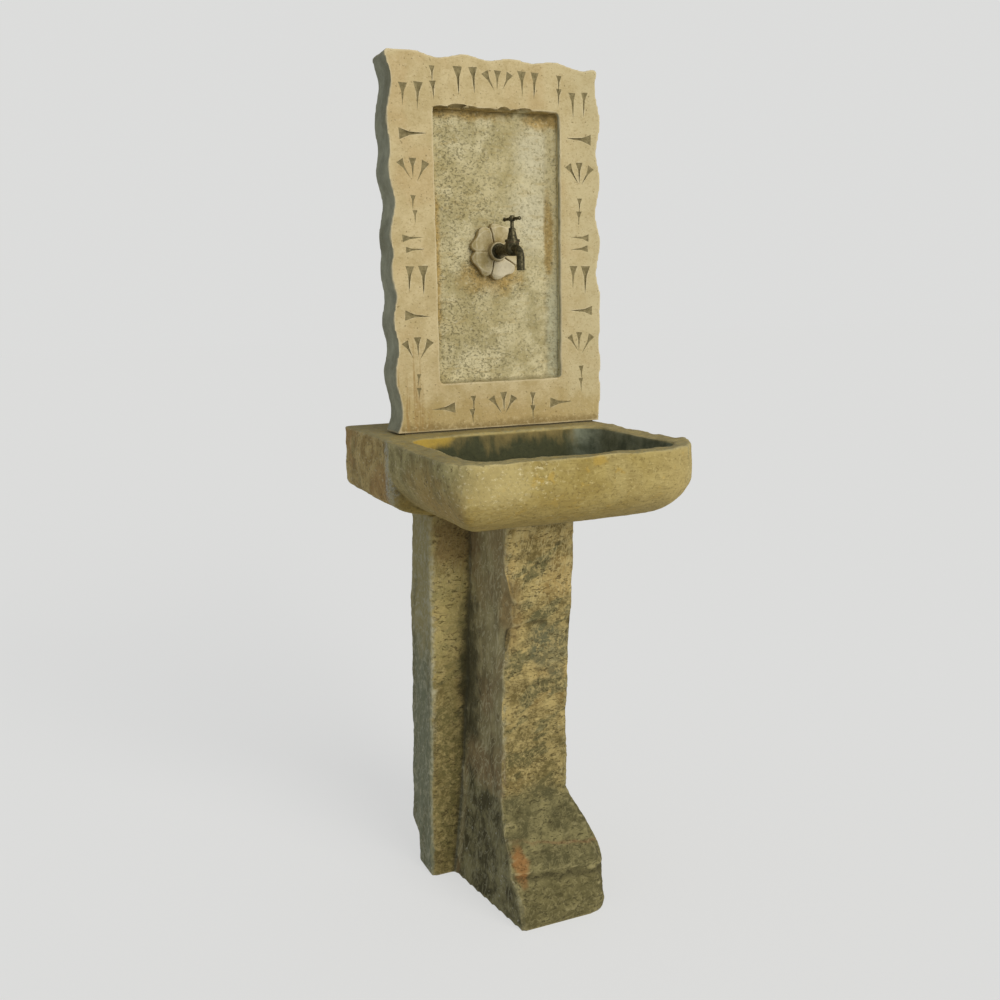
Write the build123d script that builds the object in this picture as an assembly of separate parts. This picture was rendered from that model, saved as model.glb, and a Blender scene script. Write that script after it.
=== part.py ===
from build123d import *
import math
import os

# A limestone wall fountain: pedestal, basin and back panel, with a bib tap, its supply and its waste.
# Millimetres. +Z is up, the front faces -Y, and the origin is on the ground under the middle of the basin.

# Heights of the stones, from the ground up, and the mortar joint between them
PEDESTAL_HEIGHT = 809.0
BASIN_HEIGHT = 163.0
PANEL_HEIGHT = 761.0
BED = 3.0
BED_INSET = 7.0

# Pedestal: a rear slab and a front pier, both leaning a little to the left towards the ground
SLAB_WIDTH = 330.0
SLAB_DEPTH = 129.0
SLAB_SETBACK = 20.0
SLAB_SHIFT = -4.0
SLAB_LEAN = 22.0
PIER_TOP_WIDTH = 155.0
PIER_LOW_WIDTH = 137.0
PIER_PROJECTION = 180.0
PIER_LEAN = 32.0
ROOT_FLARE = 45.0
HEWN_EDGE = 9.0

# Foot of the pier, which spreads forward and to the right
FOOT_HEIGHT = 248.0
FOOT_SHOULDER = 70.0
FOOT_REACH = 100.0
FOOT_SPREAD = 58.0
FOOT_EDGE = 38.0

# Broken corner at the rear left of the slab
CHIP_HEIGHT = 92.0
CHIP_DEPTH = 54.0
CHIP_WIDTH = 70.0
CHIP_SLOPE = 26.0
CHIP_TOP = 0.3

# Basin: a rounded bowl in front of a plain tail block
BASIN_DEPTH = 698.0
BOWL_WIDTH = 540.0
TAIL_WIDTH = 522.0
TAIL_DEPTH = 317.0
TAIL_BELLY = 120.0
TAIL_BAND = 118.0
BOWL_LEFT_CORNER = 72.0
BOWL_RIGHT_CORNER = 134.0
BELLY_LEFT = 150.0
BELLY_RIGHT = 165.0
BELLY_FRONT = 260.0
BELLY_CORNER = 200.0
BAND_LEFT = 13.0
BAND_RIGHT = 38.0
BAND_FRONT = 50.0
BAND_CORNER = 52.0
RIM_SIDE = 44.0
RIM_FRONT = 36.0
CAVITY_DEPTH = 104.0
CAVITY_CORNER = 58.0
CAVITY_DRAFT = 9.0
CAVITY_FLOOR_EDGE = 36.0

# Back panel: wavy edges, a sunk field and a border of even width
PANEL_WIDTH = 480.0
PANEL_THICKNESS = 82.0
PANEL_SETBACK = 72.0
PANEL_SHIFT = 25.0
PANEL_LEDGE = 52.0
TOP_FALL = 8.0
BORDER = 99.0
FIELD_DEPTH = 30.0
FIELD_CORNER = 7.0
PANEL_CORNER = 9.0
CORNER_SWELL = 9.0
WAVE_HEIGHT = 5.5
WAVE_PITCH = 120.0
# Where the crests of the wavy edges stand, as shares of the edge from the foot up or from the left
LEFT_CRESTS = (0.16, 0.30, 0.43, 0.52, 0.69, 0.80)
RIGHT_CRESTS = (0.09, 0.17, 0.28, 0.35, 0.50, 0.68, 0.83)
TOP_CRESTS = (0.125, 0.36, 0.57, 0.75)

# Flower in relief round the tap
FLOWER_RADIUS = 56.0
PETALS = 5
PETAL_GAP = 1.6
PETAL_START = 0.25
PETAL_BROADEST = 0.74
PETAL_TIP_WAVES = ((0.62, 1), (0.15, -1), (-0.4, 1))
PETAL_CREST = (0.7, 0.86)
PETAL_ROOT = 0.3
PETAL_WAVE = 2.2
PETAL_RELIEF = 19.0
PETAL_TIP_RELIEF = 11.0
PETAL_ROOT_RELIEF = 12.0
PETAL_SCOOP = 22.0
PETAL_SCOOP_DEPTH = 4.5
PETAL_SCOOP_AT = 0.66
CALYX_RADIUS = 40.0
CALYX_RELIEF = 8.0
BOSS_RADIUS = 19.0
BOSS_RELIEF = 25.0
TAP_DROP = 5.5

# Dowels that key the stones together
BASIN_DOWEL_RADIUS = 8.0
BASIN_DOWEL_LENGTH = 103.0
BASIN_DOWEL_SPAN = 220.0
PANEL_DOWEL_RADIUS = 6.0
PANEL_DOWEL_LENGTH = 93.0
PANEL_DOWEL_SPAN = 330.0
DOWEL_CLEARANCE = 0.2

# Bib tap: body
TAP_REACH = 68.0
SPOUT_REACH = 39.0
SPOUT_DROP = 43.0
SPOUT_RISE = 1.0
SPOUT_BEND = 22.0
SPOUT_RADIUS = 8.2
SPOUT_BORE = 6.0
BARREL_RADIUS = 12.0
CHAMBER_RADIUS = 14.0
CHAMBER_BELOW = 13.0
CHAMBER_ABOVE = 14.0
CHAMBER_BORE = 11.0
CHAMBER_ROUND = 8.0
SEAT_HEIGHT = 1.0
SEAT_BORE = 5.0
INLET_BORE = 4.5
INLET_DROP = 5.5
INLET_TAIL_RADIUS = 10.4
FLANGE_RADIUS = 16.0
FLANGE_THICKNESS = 5.0
FLANGE_BEVEL = 2.0

# Bib tap: bonnet, gland and packing
GASKET_THICKNESS = 1.0
GASKET_RADIUS = 13.6
SKIRT_LENGTH = 5.0
SKIRT_BORE = 9.0
COLLAR_RADIUS = 15.5
COLLAR_HEIGHT = 5.0
NECK_RADIUS = 7.4
NECK_HEIGHT = 16.0
SHOULDER_RADIUS = 11.0
GLAND_RADIUS = 7.8
GLAND_HEIGHT = 7.0
GLAND_NOSE = 2.5
GLAND_LIP = 1.0
PACKING_RADIUS = 5.8
PACKING_HEIGHT = 4.5

# Bib tap: spindle, handle and valve
STEM_RADIUS = 3.8
STEM_RISE = 14.0
SCREW_RADIUS = 6.0
SCREW_LENGTH = 14.0
SCREW_LEAD = 3.0
OPEN_TURNS = 1.5
LIFT_ROOM = 0.8
SQUARE = 5.2
SQUARE_HEIGHT = 8.0
HANDLE_SPAN = 55.0
HANDLE_BOSS_RADIUS = 6.5
HANDLE_BAR_RADIUS = 3.0
HANDLE_KNOB_RADIUS = 3.9
HANDLE_ANGLE = -76.0
CAP_RADIUS = 4.6
CAP_HEIGHT = 3.0
CAP_SHARE = 0.8
CAP_SHANK_RADIUS = 1.8
CAP_SHANK_LENGTH = 9.0
WASHER_RADIUS = 8.0
WASHER_THICKNESS = 3.0
JUMPER_THICKNESS = 2.0
JUMPER_PIN_RADIUS = 2.5
JUMPER_PIN_LENGTH = 9.0
STUD_RADIUS = 1.6
WASHER_NUT_RADIUS = 3.4
WASHER_NUT_THICKNESS = 2.4
RUNNING_FIT = 0.06
THREAD_FIT = 0.1
FIT = 0.2

# Supply: a copper riser in a chase at the back
PIPE_RADIUS = 7.5
PIPE_BORE = 6.5
PIPE_INSET = 2.0
CHASE_WIDTH = 46.0
CHASE_DEPTH = 33.0
PANEL_CHASE_WIDTH = 30.0
PANEL_CHASE_DEPTH = 22.0
RISER_HOLE = 12.0
ELBOW_RADIUS = 14.0
ELBOW_FRONT = 20.0
ELBOW_BACK = 12.0
ELBOW_SOCKET_RADIUS = 11.0
ELBOW_SOCKET_LENGTH = 30.0
ELBOW_ROOM = 8.0
SOCKET_GRIP = 14.0
CLIP_RADIUS = 10.5
CLIP_WIDTH = 12.0
CLIP_FOOT = 9.0
CLIP_LEVELS = (190.0, 620.0)
CLIP_STUD_RADIUS = 3.0
CLIP_STUD_GRIP = 30.0
UNION_FOOT = 32.0
UNION_THREAD_RADIUS = 10.48
UNION_THREAD_LENGTH = 18.0
UNION_HEX_RADIUS = 14.0
UNION_HEX_HEIGHT = 10.0
UNION_COLLAR_RADIUS = 11.0
UNION_COLLAR_HEIGHT = 20.0

# Waste: a strainer in the bowl and a pipe down the bore of the pedestal
WASTE_SETBACK = 70.0
WASTE_FLANGE_RADIUS = 38.0
WASTE_FLANGE_THICKNESS = 4.0
WASTE_TAIL_RADIUS = 19.0
WASTE_TAIL_BORE = 16.2
WASTE_TAIL_BELOW = 34.0
WASTE_HOLE = 21.5
WASTE_SEAL_THICKNESS = 2.0
WASTE_SLOTS = 6
WASTE_SLOT_WIDTH = 4.0
WASTE_SLOT_LENGTH = 9.0
WASTE_SLOT_RING = 8.5
WASTE_WASHER_RADIUS = 33.0
WASTE_WASHER_THICKNESS = 4.0
WASTE_NUT_RADIUS = 32.0
WASTE_NUT_THICKNESS = 10.0
WASTE_PIPE_RADIUS = 16.0
WASTE_PIPE_BORE = 14.0
WASTE_PIPE_GRIP = 18.0
WASTE_BORE = 24.0
NUT_ROOM_RADIUS = 42.0
NUT_ROOM_DEPTH = 44.0
SPIGOT_FOOT = 18.0
SPIGOT_RADIUS = 20.0
SPIGOT_LENGTH = 42.0
SPIGOT_GRIP = 20.0
POCKET_RADIUS = 44.0
POCKET_ROOM = 16.0

# Levels and planes that several pieces share
BASIN_BOTTOM = PEDESTAL_HEIGHT + BED
RIM = BASIN_BOTTOM + BASIN_HEIGHT
PANEL_BOTTOM = RIM + BED
PANEL_TOP = PANEL_BOTTOM + PANEL_HEIGHT
BASIN_FRONT = -BASIN_DEPTH / 2
BASIN_REAR = BASIN_DEPTH / 2
TAIL_FRONT = BASIN_REAR - TAIL_DEPTH
SLAB_FRONT = TAIL_FRONT + SLAB_SETBACK
SLAB_REAR = SLAB_FRONT + SLAB_DEPTH
SLAB_MIDDLE = (SLAB_FRONT + SLAB_REAR) / 2
PIER_FRONT = SLAB_FRONT - PIER_PROJECTION
PANEL_FRONT = TAIL_FRONT + PANEL_SETBACK
PANEL_REAR = PANEL_FRONT + PANEL_THICKNESS
PANEL_MIDDLE = (PANEL_FRONT + PANEL_REAR) / 2
FIELD_FLOOR = PANEL_FRONT + FIELD_DEPTH
FIELD_WIDTH = PANEL_WIDTH - 2 * BORDER
FIELD_HEIGHT = PANEL_HEIGHT - TOP_FALL - 2 * BORDER
FIELD_MIDDLE = PANEL_BOTTOM + (PANEL_HEIGHT - TOP_FALL) / 2
TAP_LEVEL = FIELD_MIDDLE - TAP_DROP
BOSS_FACE = FIELD_FLOOR - BOSS_RELIEF
SPINDLE_Y = BOSS_FACE - TAP_REACH
RISER_Y = SLAB_REAR - PIPE_INSET - PIPE_RADIUS
CHASE_FLOOR = SLAB_REAR - CHASE_DEPTH
ELBOW_FACE = RISER_Y - ELBOW_FRONT
CAVITY_FLOOR = RIM - CAVITY_DEPTH
WASTE_Y = SLAB_FRONT - WASTE_SETBACK
WASTE_SEAT = CAVITY_FLOOR - WASTE_FLANGE_THICKNESS - WASTE_SEAL_THICKNESS
WASTE_TAIL_END = BASIN_BOTTOM - WASTE_TAIL_BELOW
POCKET_TOP = SPIGOT_FOOT + SPIGOT_LENGTH + POCKET_ROOM
LIFT = SCREW_LEAD * OPEN_TURNS

# Heights inside the tap, from the axis of its inlet
WASHER_TOP = SEAT_HEIGHT + WASHER_THICKNESS
JUMPER_TOP = WASHER_TOP + JUMPER_THICKNESS
GASKET_TOP = CHAMBER_ABOVE + GASKET_THICKNESS
COLLAR_TOP = GASKET_TOP + COLLAR_HEIGHT
NECK_TOP = COLLAR_TOP + NECK_HEIGHT
SCREW_TOP = JUMPER_TOP + SCREW_LENGTH
SCREW_ROOM = SCREW_TOP + LIFT + LIFT_ROOM
SKIRT_ROOF = JUMPER_TOP + LIFT + LIFT_ROOM
PACKING_FLOOR = NECK_TOP - GLAND_NOSE - PACKING_HEIGHT
GLAND_TOP = NECK_TOP + GLAND_HEIGHT
STEM_TOP = GLAND_TOP + STEM_RISE
SQUARE_TOP = STEM_TOP + SQUARE_HEIGHT

UP = (Align.CENTER, Align.CENTER, Align.MIN)
BACK = Rot(-90, 0, 0)
TAP = Pos(PANEL_SHIFT, SPINDLE_Y, TAP_LEVEL)
RISER = Pos(PANEL_SHIFT, RISER_Y, 0)
WASTE = Pos(0, WASTE_Y, 0)


def rod(radius, low, high):
    """Upright cylinder between two heights."""
    return Pos(0, 0, low) * Cylinder(radius, high - low, align=UP)


def pipe(radius, bore, low, high):
    """Upright tube between two heights."""
    return rod(radius, low, high) - rod(bore, low, high)


def block(x, y, z):
    """Box between two limits along each axis."""
    size = [high - low for low, high in (x, y, z)]
    middle = [(low + high) / 2 for low, high in (x, y, z)]
    return Pos(*middle) * Box(*size)


def plan(corners, radii, level):
    """Level face through the corners, each rounded by its own radius."""
    face = make_face(Polyline(*corners, close=True))
    for corner, radius in zip(corners, radii):
        nearest = face.vertices().sort_by_distance((*corner, 0))[0]
        face = fillet(nearest, radius)
    return Pos(0, 0, level) * face


def turned(points):
    """Solid turned about Z from a half profile of (radius, height) points."""
    profile = Polyline(*[(radius, 0, height) for radius, height in points], close=True)
    return revolve(make_face(profile), Axis.Z)


def mirrored_pair(span, y):
    """Two places either side of the middle."""
    return [Pos(-span / 2, y, 0), Pos(span / 2, y, 0)]


# Pedestal


def slab_plan(level):
    """Rear slab at one height."""
    lean = SLAB_SHIFT - SLAB_LEAN * (1 - level / PEDESTAL_HEIGHT)
    left = lean - SLAB_WIDTH / 2
    right = lean + SLAB_WIDTH / 2
    corners = [(left, SLAB_FRONT), (right, SLAB_FRONT), (right, SLAB_REAR), (left, SLAB_REAR)]
    return plan(corners, [HEWN_EDGE] * len(corners), level)


def foot_share(level):
    """How far the foot has spread at one height, easing from none to all."""
    fall = (FOOT_HEIGHT - level) / (FOOT_HEIGHT - FOOT_SHOULDER)
    share = min(max(fall, 0.0), 1.0)
    return share * share * (3 - 2 * share)


def pier_plan(level):
    """Front pier and its foot at one height."""
    drop = 1 - level / PEDESTAL_HEIGHT
    spread = foot_share(level)
    half = (PIER_TOP_WIDTH + (PIER_LOW_WIDTH - PIER_TOP_WIDTH) * drop) / 2
    left = -PIER_LEAN * drop - half
    right = -PIER_LEAN * drop + half + FOOT_SPREAD * spread
    front = PIER_FRONT - FOOT_REACH * spread
    root = ROOT_FLARE * drop * drop
    corners = [(left, front), (right, front), (right + root / 2, SLAB_MIDDLE), (left - root, SLAB_MIDDLE)]
    edge = HEWN_EDGE + (FOOT_EDGE - HEWN_EDGE) * spread
    return plan(corners, [HEWN_EDGE, edge, HEWN_EDGE, HEWN_EDGE], level)


def broken_corner():
    """Prism across the rear left edge of the slab, drawn in towards its top."""
    corner = SLAB_SHIFT - SLAB_LEAN - SLAB_WIDTH / 2
    def break_plan(share, level):
        points = [
            (corner - CHIP_WIDTH, SLAB_REAR + HEWN_EDGE),
            (corner - CHIP_WIDTH, SLAB_REAR - CHIP_DEPTH * (2 * share)),
            (corner + CHIP_WIDTH * share, SLAB_REAR + HEWN_EDGE),
        ]
        return Pos(0, 0, level) * make_face(Polyline(*points, close=True))
    shoulder = CHIP_HEIGHT - CHIP_SLOPE
    slope = loft([break_plan(1, shoulder), break_plan(CHIP_TOP, CHIP_HEIGHT)])
    return extrude(break_plan(1, 0), shoulder) + slope


def pedestal():
    slab = loft([slab_plan(0), slab_plan(PEDESTAL_HEIGHT)])
    foot_middle = (FOOT_SHOULDER + FOOT_HEIGHT) / 2
    foot_levels = [0, FOOT_SHOULDER, foot_middle, FOOT_HEIGHT]
    foot = loft([pier_plan(level) for level in foot_levels])
    pier_middle = (FOOT_HEIGHT + PEDESTAL_HEIGHT) / 2
    pier_levels = [FOOT_HEIGHT, pier_middle, PEDESTAL_HEIGHT]
    pier = loft([pier_plan(level) for level in pier_levels])
    stone = slab + foot + pier
    stone -= broken_corner()
    # Bore for the waste, with room for the nut above and the spigot below
    stone -= WASTE * rod(WASTE_BORE, 0, PEDESTAL_HEIGHT)
    stone -= WASTE * rod(NUT_ROOM_RADIUS, PEDESTAL_HEIGHT - NUT_ROOM_DEPTH, PEDESTAL_HEIGHT)
    stone -= WASTE * rod(POCKET_RADIUS, 0, POCKET_TOP)
    # Chase for the riser, with holes for the clip studs
    half = CHASE_WIDTH / 2
    sides = (PANEL_SHIFT - half, PANEL_SHIFT + half)
    stone -= block(sides, (CHASE_FLOOR, SLAB_REAR + CHASE_DEPTH), (-BED, PEDESTAL_HEIGHT + BED))
    for level in CLIP_LEVELS:
        hole = BACK * rod(CLIP_STUD_RADIUS + FIT, -CLIP_STUD_GRIP, 0)
        stone -= Pos(PANEL_SHIFT, CHASE_FLOOR, level) * hole
    for place in mirrored_pair(BASIN_DOWEL_SPAN, SLAB_MIDDLE):
        stone -= place * dowel_hole(BASIN_DOWEL_RADIUS, BASIN_DOWEL_LENGTH, PEDESTAL_HEIGHT, BASIN_BOTTOM)
    return stone


# Dowels and mortar beds


def dowel_span(length, low_face, high_face):
    """Lower and upper end of a dowel centred on the joint between two faces."""
    middle = (low_face + high_face) / 2
    return middle - length / 2, middle + length / 2


def dowel_hole(radius, length, low_face, high_face):
    low, high = dowel_span(length, low_face, high_face)
    return rod(radius + DOWEL_CLEARANCE, low, high)


def basin_dowels():
    low, high = dowel_span(BASIN_DOWEL_LENGTH, PEDESTAL_HEIGHT, BASIN_BOTTOM)
    pin = rod(BASIN_DOWEL_RADIUS, low, high)
    return Compound([place * pin for place in mirrored_pair(BASIN_DOWEL_SPAN, SLAB_MIDDLE)])


def panel_dowels():
    low, high = dowel_span(PANEL_DOWEL_LENGTH, RIM, PANEL_BOTTOM)
    pin = rod(PANEL_DOWEL_RADIUS, low, high)
    places = mirrored_pair(PANEL_DOWEL_SPAN, PANEL_MIDDLE)
    return Compound([Pos(PANEL_SHIFT, 0, 0) * place * pin for place in places])


def basin_bed():
    half_slab = SLAB_WIDTH / 2 - BED_INSET
    half_pier = PIER_TOP_WIDTH / 2 - BED_INSET
    level = (PEDESTAL_HEIGHT, BASIN_BOTTOM)
    sides = (SLAB_SHIFT - half_slab, SLAB_SHIFT + half_slab)
    bed = block(sides, (SLAB_FRONT + BED_INSET, SLAB_REAR - BED_INSET), level)
    bed += block((-half_pier, half_pier), (PIER_FRONT + BED_INSET, SLAB_MIDDLE), level)
    bed -= WASTE * rod(NUT_ROOM_RADIUS, *level)
    half = CHASE_WIDTH / 2
    bed -= block((PANEL_SHIFT - half, PANEL_SHIFT + half), (CHASE_FLOOR, SLAB_REAR), level)
    for place in mirrored_pair(BASIN_DOWEL_SPAN, SLAB_MIDDLE):
        bed -= place * rod(BASIN_DOWEL_RADIUS + DOWEL_CLEARANCE, *level)
    return bed


def panel_bed():
    half = PANEL_WIDTH / 2 - WAVE_HEIGHT * 2 - BED_INSET
    level = (RIM, PANEL_BOTTOM)
    sides = (PANEL_SHIFT - half, PANEL_SHIFT + half)
    bed = block(sides, (PANEL_FRONT + BED_INSET, PANEL_REAR - BED_INSET), level)
    half_chase = PANEL_CHASE_WIDTH / 2
    chase = (PANEL_SHIFT - half_chase, PANEL_SHIFT + half_chase)
    bed -= block(chase, (PANEL_REAR - PANEL_CHASE_DEPTH, PANEL_REAR), level)
    bed -= RISER * rod(RISER_HOLE, *level)
    for place in mirrored_pair(PANEL_DOWEL_SPAN, PANEL_MIDDLE):
        bed -= Pos(PANEL_SHIFT, 0, 0) * place * rod(PANEL_DOWEL_RADIUS + DOWEL_CLEARANCE, *level)
    return bed


# Basin


def under_belly(run, band):
    """Corner hewn away below one side: the belly runs in by an ellipse from a plain band under the rim."""
    rise = BASIN_HEIGHT - band
    curve = EllipticalCenterArc((run, rise), run, rise, start_angle=180, arc_size=90)
    return make_face(Curve() + [Line((0, rise), (0, 0)), Line((0, 0), (run, 0)), curve])


def side_cut(side, run, band):
    """The corner under the belly along the whole of one side, running in towards the middle."""
    inward = -math.copysign(1, side)
    plane = Plane(origin=(side, 0, BASIN_BOTTOM), x_dir=(inward, 0, 0), z_dir=(0, -inward, 0))
    return extrude(plane * under_belly(run, band), BASIN_DEPTH, both=True)


def corner_cut(x, y, radius, run, band):
    """The corner under the belly round a rounded corner of the plan, turned about that corner's axis."""
    plane = Plane(origin=(x, y - radius, BASIN_BOTTOM), x_dir=(0, 1, 0), z_dir=(1, 0, 0))
    to_axis = Pos(radius / 2, BASIN_HEIGHT / 2) * Rectangle(radius, BASIN_HEIGHT)
    return revolve(plane * (under_belly(run, band) & to_axis), Axis((x, y, 0), (0, 0, 1)), 90)


def bowl_hull():
    """Bowl without its hollow: its plan, with the belly hewn on three sides and round the right corner."""
    half_front = BOWL_WIDTH / 2
    half_rear = TAIL_WIDTH / 2
    rear = TAIL_FRONT + RIM_SIDE
    corners = [(-half_rear, rear), (-half_front, BASIN_FRONT), (half_front, BASIN_FRONT), (half_rear, rear)]
    outline = make_face(Polyline(*corners, close=True))
    outline = fillet(outline.vertices().sort_by_distance((*corners[1], 0))[0], BOWL_LEFT_CORNER)
    outline = fillet(outline.vertices().sort_by_distance((*corners[2], 0))[0], BOWL_RIGHT_CORNER)
    body = Pos(0, 0, BASIN_BOTTOM) * extrude(outline, BASIN_HEIGHT)
    body -= side_cut(-half_front, BELLY_LEFT, BAND_LEFT)
    body -= side_cut(half_front, BELLY_RIGHT, BAND_RIGHT)
    centre = (half_front - BOWL_RIGHT_CORNER, BASIN_FRONT + BOWL_RIGHT_CORNER)
    body -= corner_cut(*centre, BOWL_RIGHT_CORNER, BELLY_CORNER, BAND_CORNER)
    front = Plane(origin=(0, BASIN_FRONT, BASIN_BOTTOM), x_dir=(0, 1, 0), z_dir=(1, 0, 0))
    return body - extrude(front * under_belly(BELLY_FRONT, BAND_FRONT), BOWL_WIDTH, both=True)


def bowl_hollow():
    """Hollow of the bowl: walls drawn in towards a rounded floor."""
    half = TAIL_WIDTH / 2 - RIM_SIDE
    front = BASIN_FRONT + RIM_FRONT
    rear = PANEL_FRONT - PANEL_LEDGE
    mouth = plan([(-half, rear), (-half, front), (half, front), (half, rear)], [CAVITY_CORNER] * 4, RIM)
    hollow = extrude(mouth, -CAVITY_DEPTH, taper=CAVITY_DRAFT)
    return fillet(hollow.faces().sort_by(Axis.Z)[0].edges(), CAVITY_FLOOR_EDGE)


def basin():
    half = TAIL_WIDTH / 2
    tail = block((-half, half), (TAIL_FRONT, BASIN_REAR), (BASIN_BOTTOM, RIM))
    tail -= side_cut(-half, TAIL_BELLY, TAIL_BAND)
    tail -= side_cut(half, TAIL_BELLY, TAIL_BAND)
    stone = bowl_hull() + tail
    stone -= bowl_hollow()
    stone -= WASTE * rod(WASTE_HOLE, BASIN_BOTTOM, CAVITY_FLOOR)
    stone -= WASTE * rod(WASTE_FLANGE_RADIUS + FIT, WASTE_SEAT, CAVITY_FLOOR + BED)
    stone -= RISER * rod(RISER_HOLE, BASIN_BOTTOM, RIM)
    for place in mirrored_pair(BASIN_DOWEL_SPAN, SLAB_MIDDLE):
        stone -= place * dowel_hole(BASIN_DOWEL_RADIUS, BASIN_DOWEL_LENGTH, PEDESTAL_HEIGHT, BASIN_BOTTOM)
    for place in mirrored_pair(PANEL_DOWEL_SPAN, PANEL_MIDDLE):
        hole = dowel_hole(PANEL_DOWEL_RADIUS, PANEL_DOWEL_LENGTH, RIM, PANEL_BOTTOM)
        stone -= Pos(PANEL_SHIFT, 0, 0) * place * hole
    return stone


# Back panel


def wave(length, crests, first, last):
    """An edge as (distance, height), from first to last; where crests stand close the trough is shallow."""
    points = [(0, first)]
    for share in (*crests, 1):
        crest = length * share
        gap = crest - points[-1][0]
        steepness = min(gap / WAVE_PITCH, 1)
        points.append((crest - gap / 2, WAVE_HEIGHT * (1 - 2 * steepness**2)))
        points.append((crest, last if share == 1 else WAVE_HEIGHT))
    return points


def panel_slab():
    """The panel as a plate with wavy sides, a wavy top that falls to the right, and a straight foot."""
    left = PANEL_SHIFT - PANEL_WIDTH / 2 + WAVE_HEIGHT
    right = PANEL_SHIFT + PANEL_WIDTH / 2 - WAVE_HEIGHT
    top = PANEL_TOP - WAVE_HEIGHT
    corner = WAVE_HEIGHT + CORNER_SWELL
    left_wave = wave(PANEL_HEIGHT + CORNER_SWELL, LEFT_CRESTS, WAVE_HEIGHT, corner)
    left_points = [(left - h, PANEL_BOTTOM + s) for s, h in left_wave]
    right_wave = wave(PANEL_HEIGHT + CORNER_SWELL - TOP_FALL, RIGHT_CRESTS, 0, corner)
    right_points = [(right + h, PANEL_BOTTOM + s) for s, h in right_wave]
    top_width = PANEL_WIDTH + 2 * CORNER_SWELL
    top_wave = wave(top_width, TOP_CRESTS, corner, corner)
    top_points = [(left - corner + s, top + h - TOP_FALL * s / top_width) for s, h in top_wave]
    edges = [Spline(*left_points), Spline(*top_points), Spline(*reversed(right_points))]
    edges.append(Line(right_points[0], left_points[0]))
    outline = Plane.XZ * make_face(Curve() + edges)
    slab = Pos(0, PANEL_REAR, 0) * extrude(outline, PANEL_THICKNESS)
    return fillet(slab.edges().filter_by(Axis.Y).sort_by(Axis.Z)[-2:], PANEL_CORNER)


def petal_outline():
    """One petal, pointing along X: narrow at the root, broad and a little wavy at the tip."""
    half_sector = math.pi / PETALS
    def on_side(share):
        reach = FLOWER_RADIUS * share
        return reach, reach * math.tan(half_sector) - PETAL_GAP
    def on_tip(share, wave_height):
        reach = FLOWER_RADIUS + wave_height
        return reach * math.cos(half_sector * share), reach * math.sin(half_sector * share)
    root = on_side(PETAL_START)
    broad = on_side(PETAL_BROADEST)
    tip = [on_tip(share, side * PETAL_WAVE) for share, side in PETAL_TIP_WAVES]
    edges = [
        Line((root[0], -root[1]), root),
        Line(root, broad),
        Spline(broad, *tip, (broad[0], -broad[1])),
        Line((broad[0], -broad[1]), (root[0], -root[1])),
    ]
    return make_face(Curve() + edges)


def flower():
    """Five-petal flower on the floor of the sunk field, built facing +Z about the origin."""
    outside = FLOWER_RADIUS + 2 * PETAL_WAVE
    crest_in, crest_out = [FLOWER_RADIUS * share for share in PETAL_CREST]
    dome = turned(
        [
            (0, 0),
            (outside, 0),
            (outside, PETAL_TIP_RELIEF),
            (crest_out, PETAL_RELIEF),
            (crest_in, PETAL_RELIEF),
            (FLOWER_RADIUS * PETAL_ROOT, PETAL_ROOT_RELIEF),
            (0, PETAL_ROOT_RELIEF),
        ]
    )
    petal = extrude(petal_outline(), PETAL_RELIEF) & dome
    # Each petal is scooped out, which leaves a raised rim
    scoop_radius = (PETAL_SCOOP**2 + PETAL_SCOOP_DEPTH**2) / (2 * PETAL_SCOOP_DEPTH)
    scoop_level = PETAL_RELIEF + scoop_radius - PETAL_SCOOP_DEPTH
    petal -= Pos(FLOWER_RADIUS * PETAL_SCOOP_AT, 0, scoop_level) * Sphere(scoop_radius)
    petals = [Rot(0, 0, 180 + 360 * (index + 0.5) / PETALS) * petal for index in range(PETALS)]
    return rod(CALYX_RADIUS, 0, CALYX_RELIEF) + petals + rod(BOSS_RADIUS, 0, BOSS_RELIEF)


def back_panel():
    stone = panel_slab()
    outline = RectangleRounded(FIELD_WIDTH, FIELD_HEIGHT, FIELD_CORNER)
    field = Plane.XZ * Pos(PANEL_SHIFT, FIELD_MIDDLE) * outline
    stone -= Pos(0, FIELD_FLOOR, 0) * extrude(field, FIELD_DEPTH)
    facing = Plane(origin=(PANEL_SHIFT, FIELD_FLOOR, TAP_LEVEL), x_dir=(1, 0, 0), z_dir=(0, -1, 0))
    stone += facing * flower()
    # Hole for the tap's tail, room for the elbow and a chase for the riser
    stone -= TAP * BACK * rod(INLET_TAIL_RADIUS + FIT, 0, PANEL_REAR - SPINDLE_Y)
    half_room = ELBOW_RADIUS + ELBOW_ROOM
    room_x = (PANEL_SHIFT - half_room, PANEL_SHIFT + half_room)
    room_z = (TAP_LEVEL - ELBOW_SOCKET_LENGTH - ELBOW_ROOM, TAP_LEVEL + half_room)
    stone -= block(room_x, (ELBOW_FACE, PANEL_REAR + ELBOW_ROOM), room_z)
    half_chase = PANEL_CHASE_WIDTH / 2
    chase_x = (PANEL_SHIFT - half_chase, PANEL_SHIFT + half_chase)
    chase_y = (min(PANEL_REAR - PANEL_CHASE_DEPTH, RISER_Y - RISER_HOLE), PANEL_REAR + ELBOW_ROOM)
    stone -= block(chase_x, chase_y, (PANEL_BOTTOM - BED, TAP_LEVEL))
    for place in mirrored_pair(PANEL_DOWEL_SPAN, PANEL_MIDDLE):
        hole = dowel_hole(PANEL_DOWEL_RADIUS, PANEL_DOWEL_LENGTH, RIM, PANEL_BOTTOM)
        stone -= Pos(PANEL_SHIFT, 0, 0) * place * hole
    return stone


# Bib tap, built about the spindle's axis with the inlet along +Y


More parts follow.
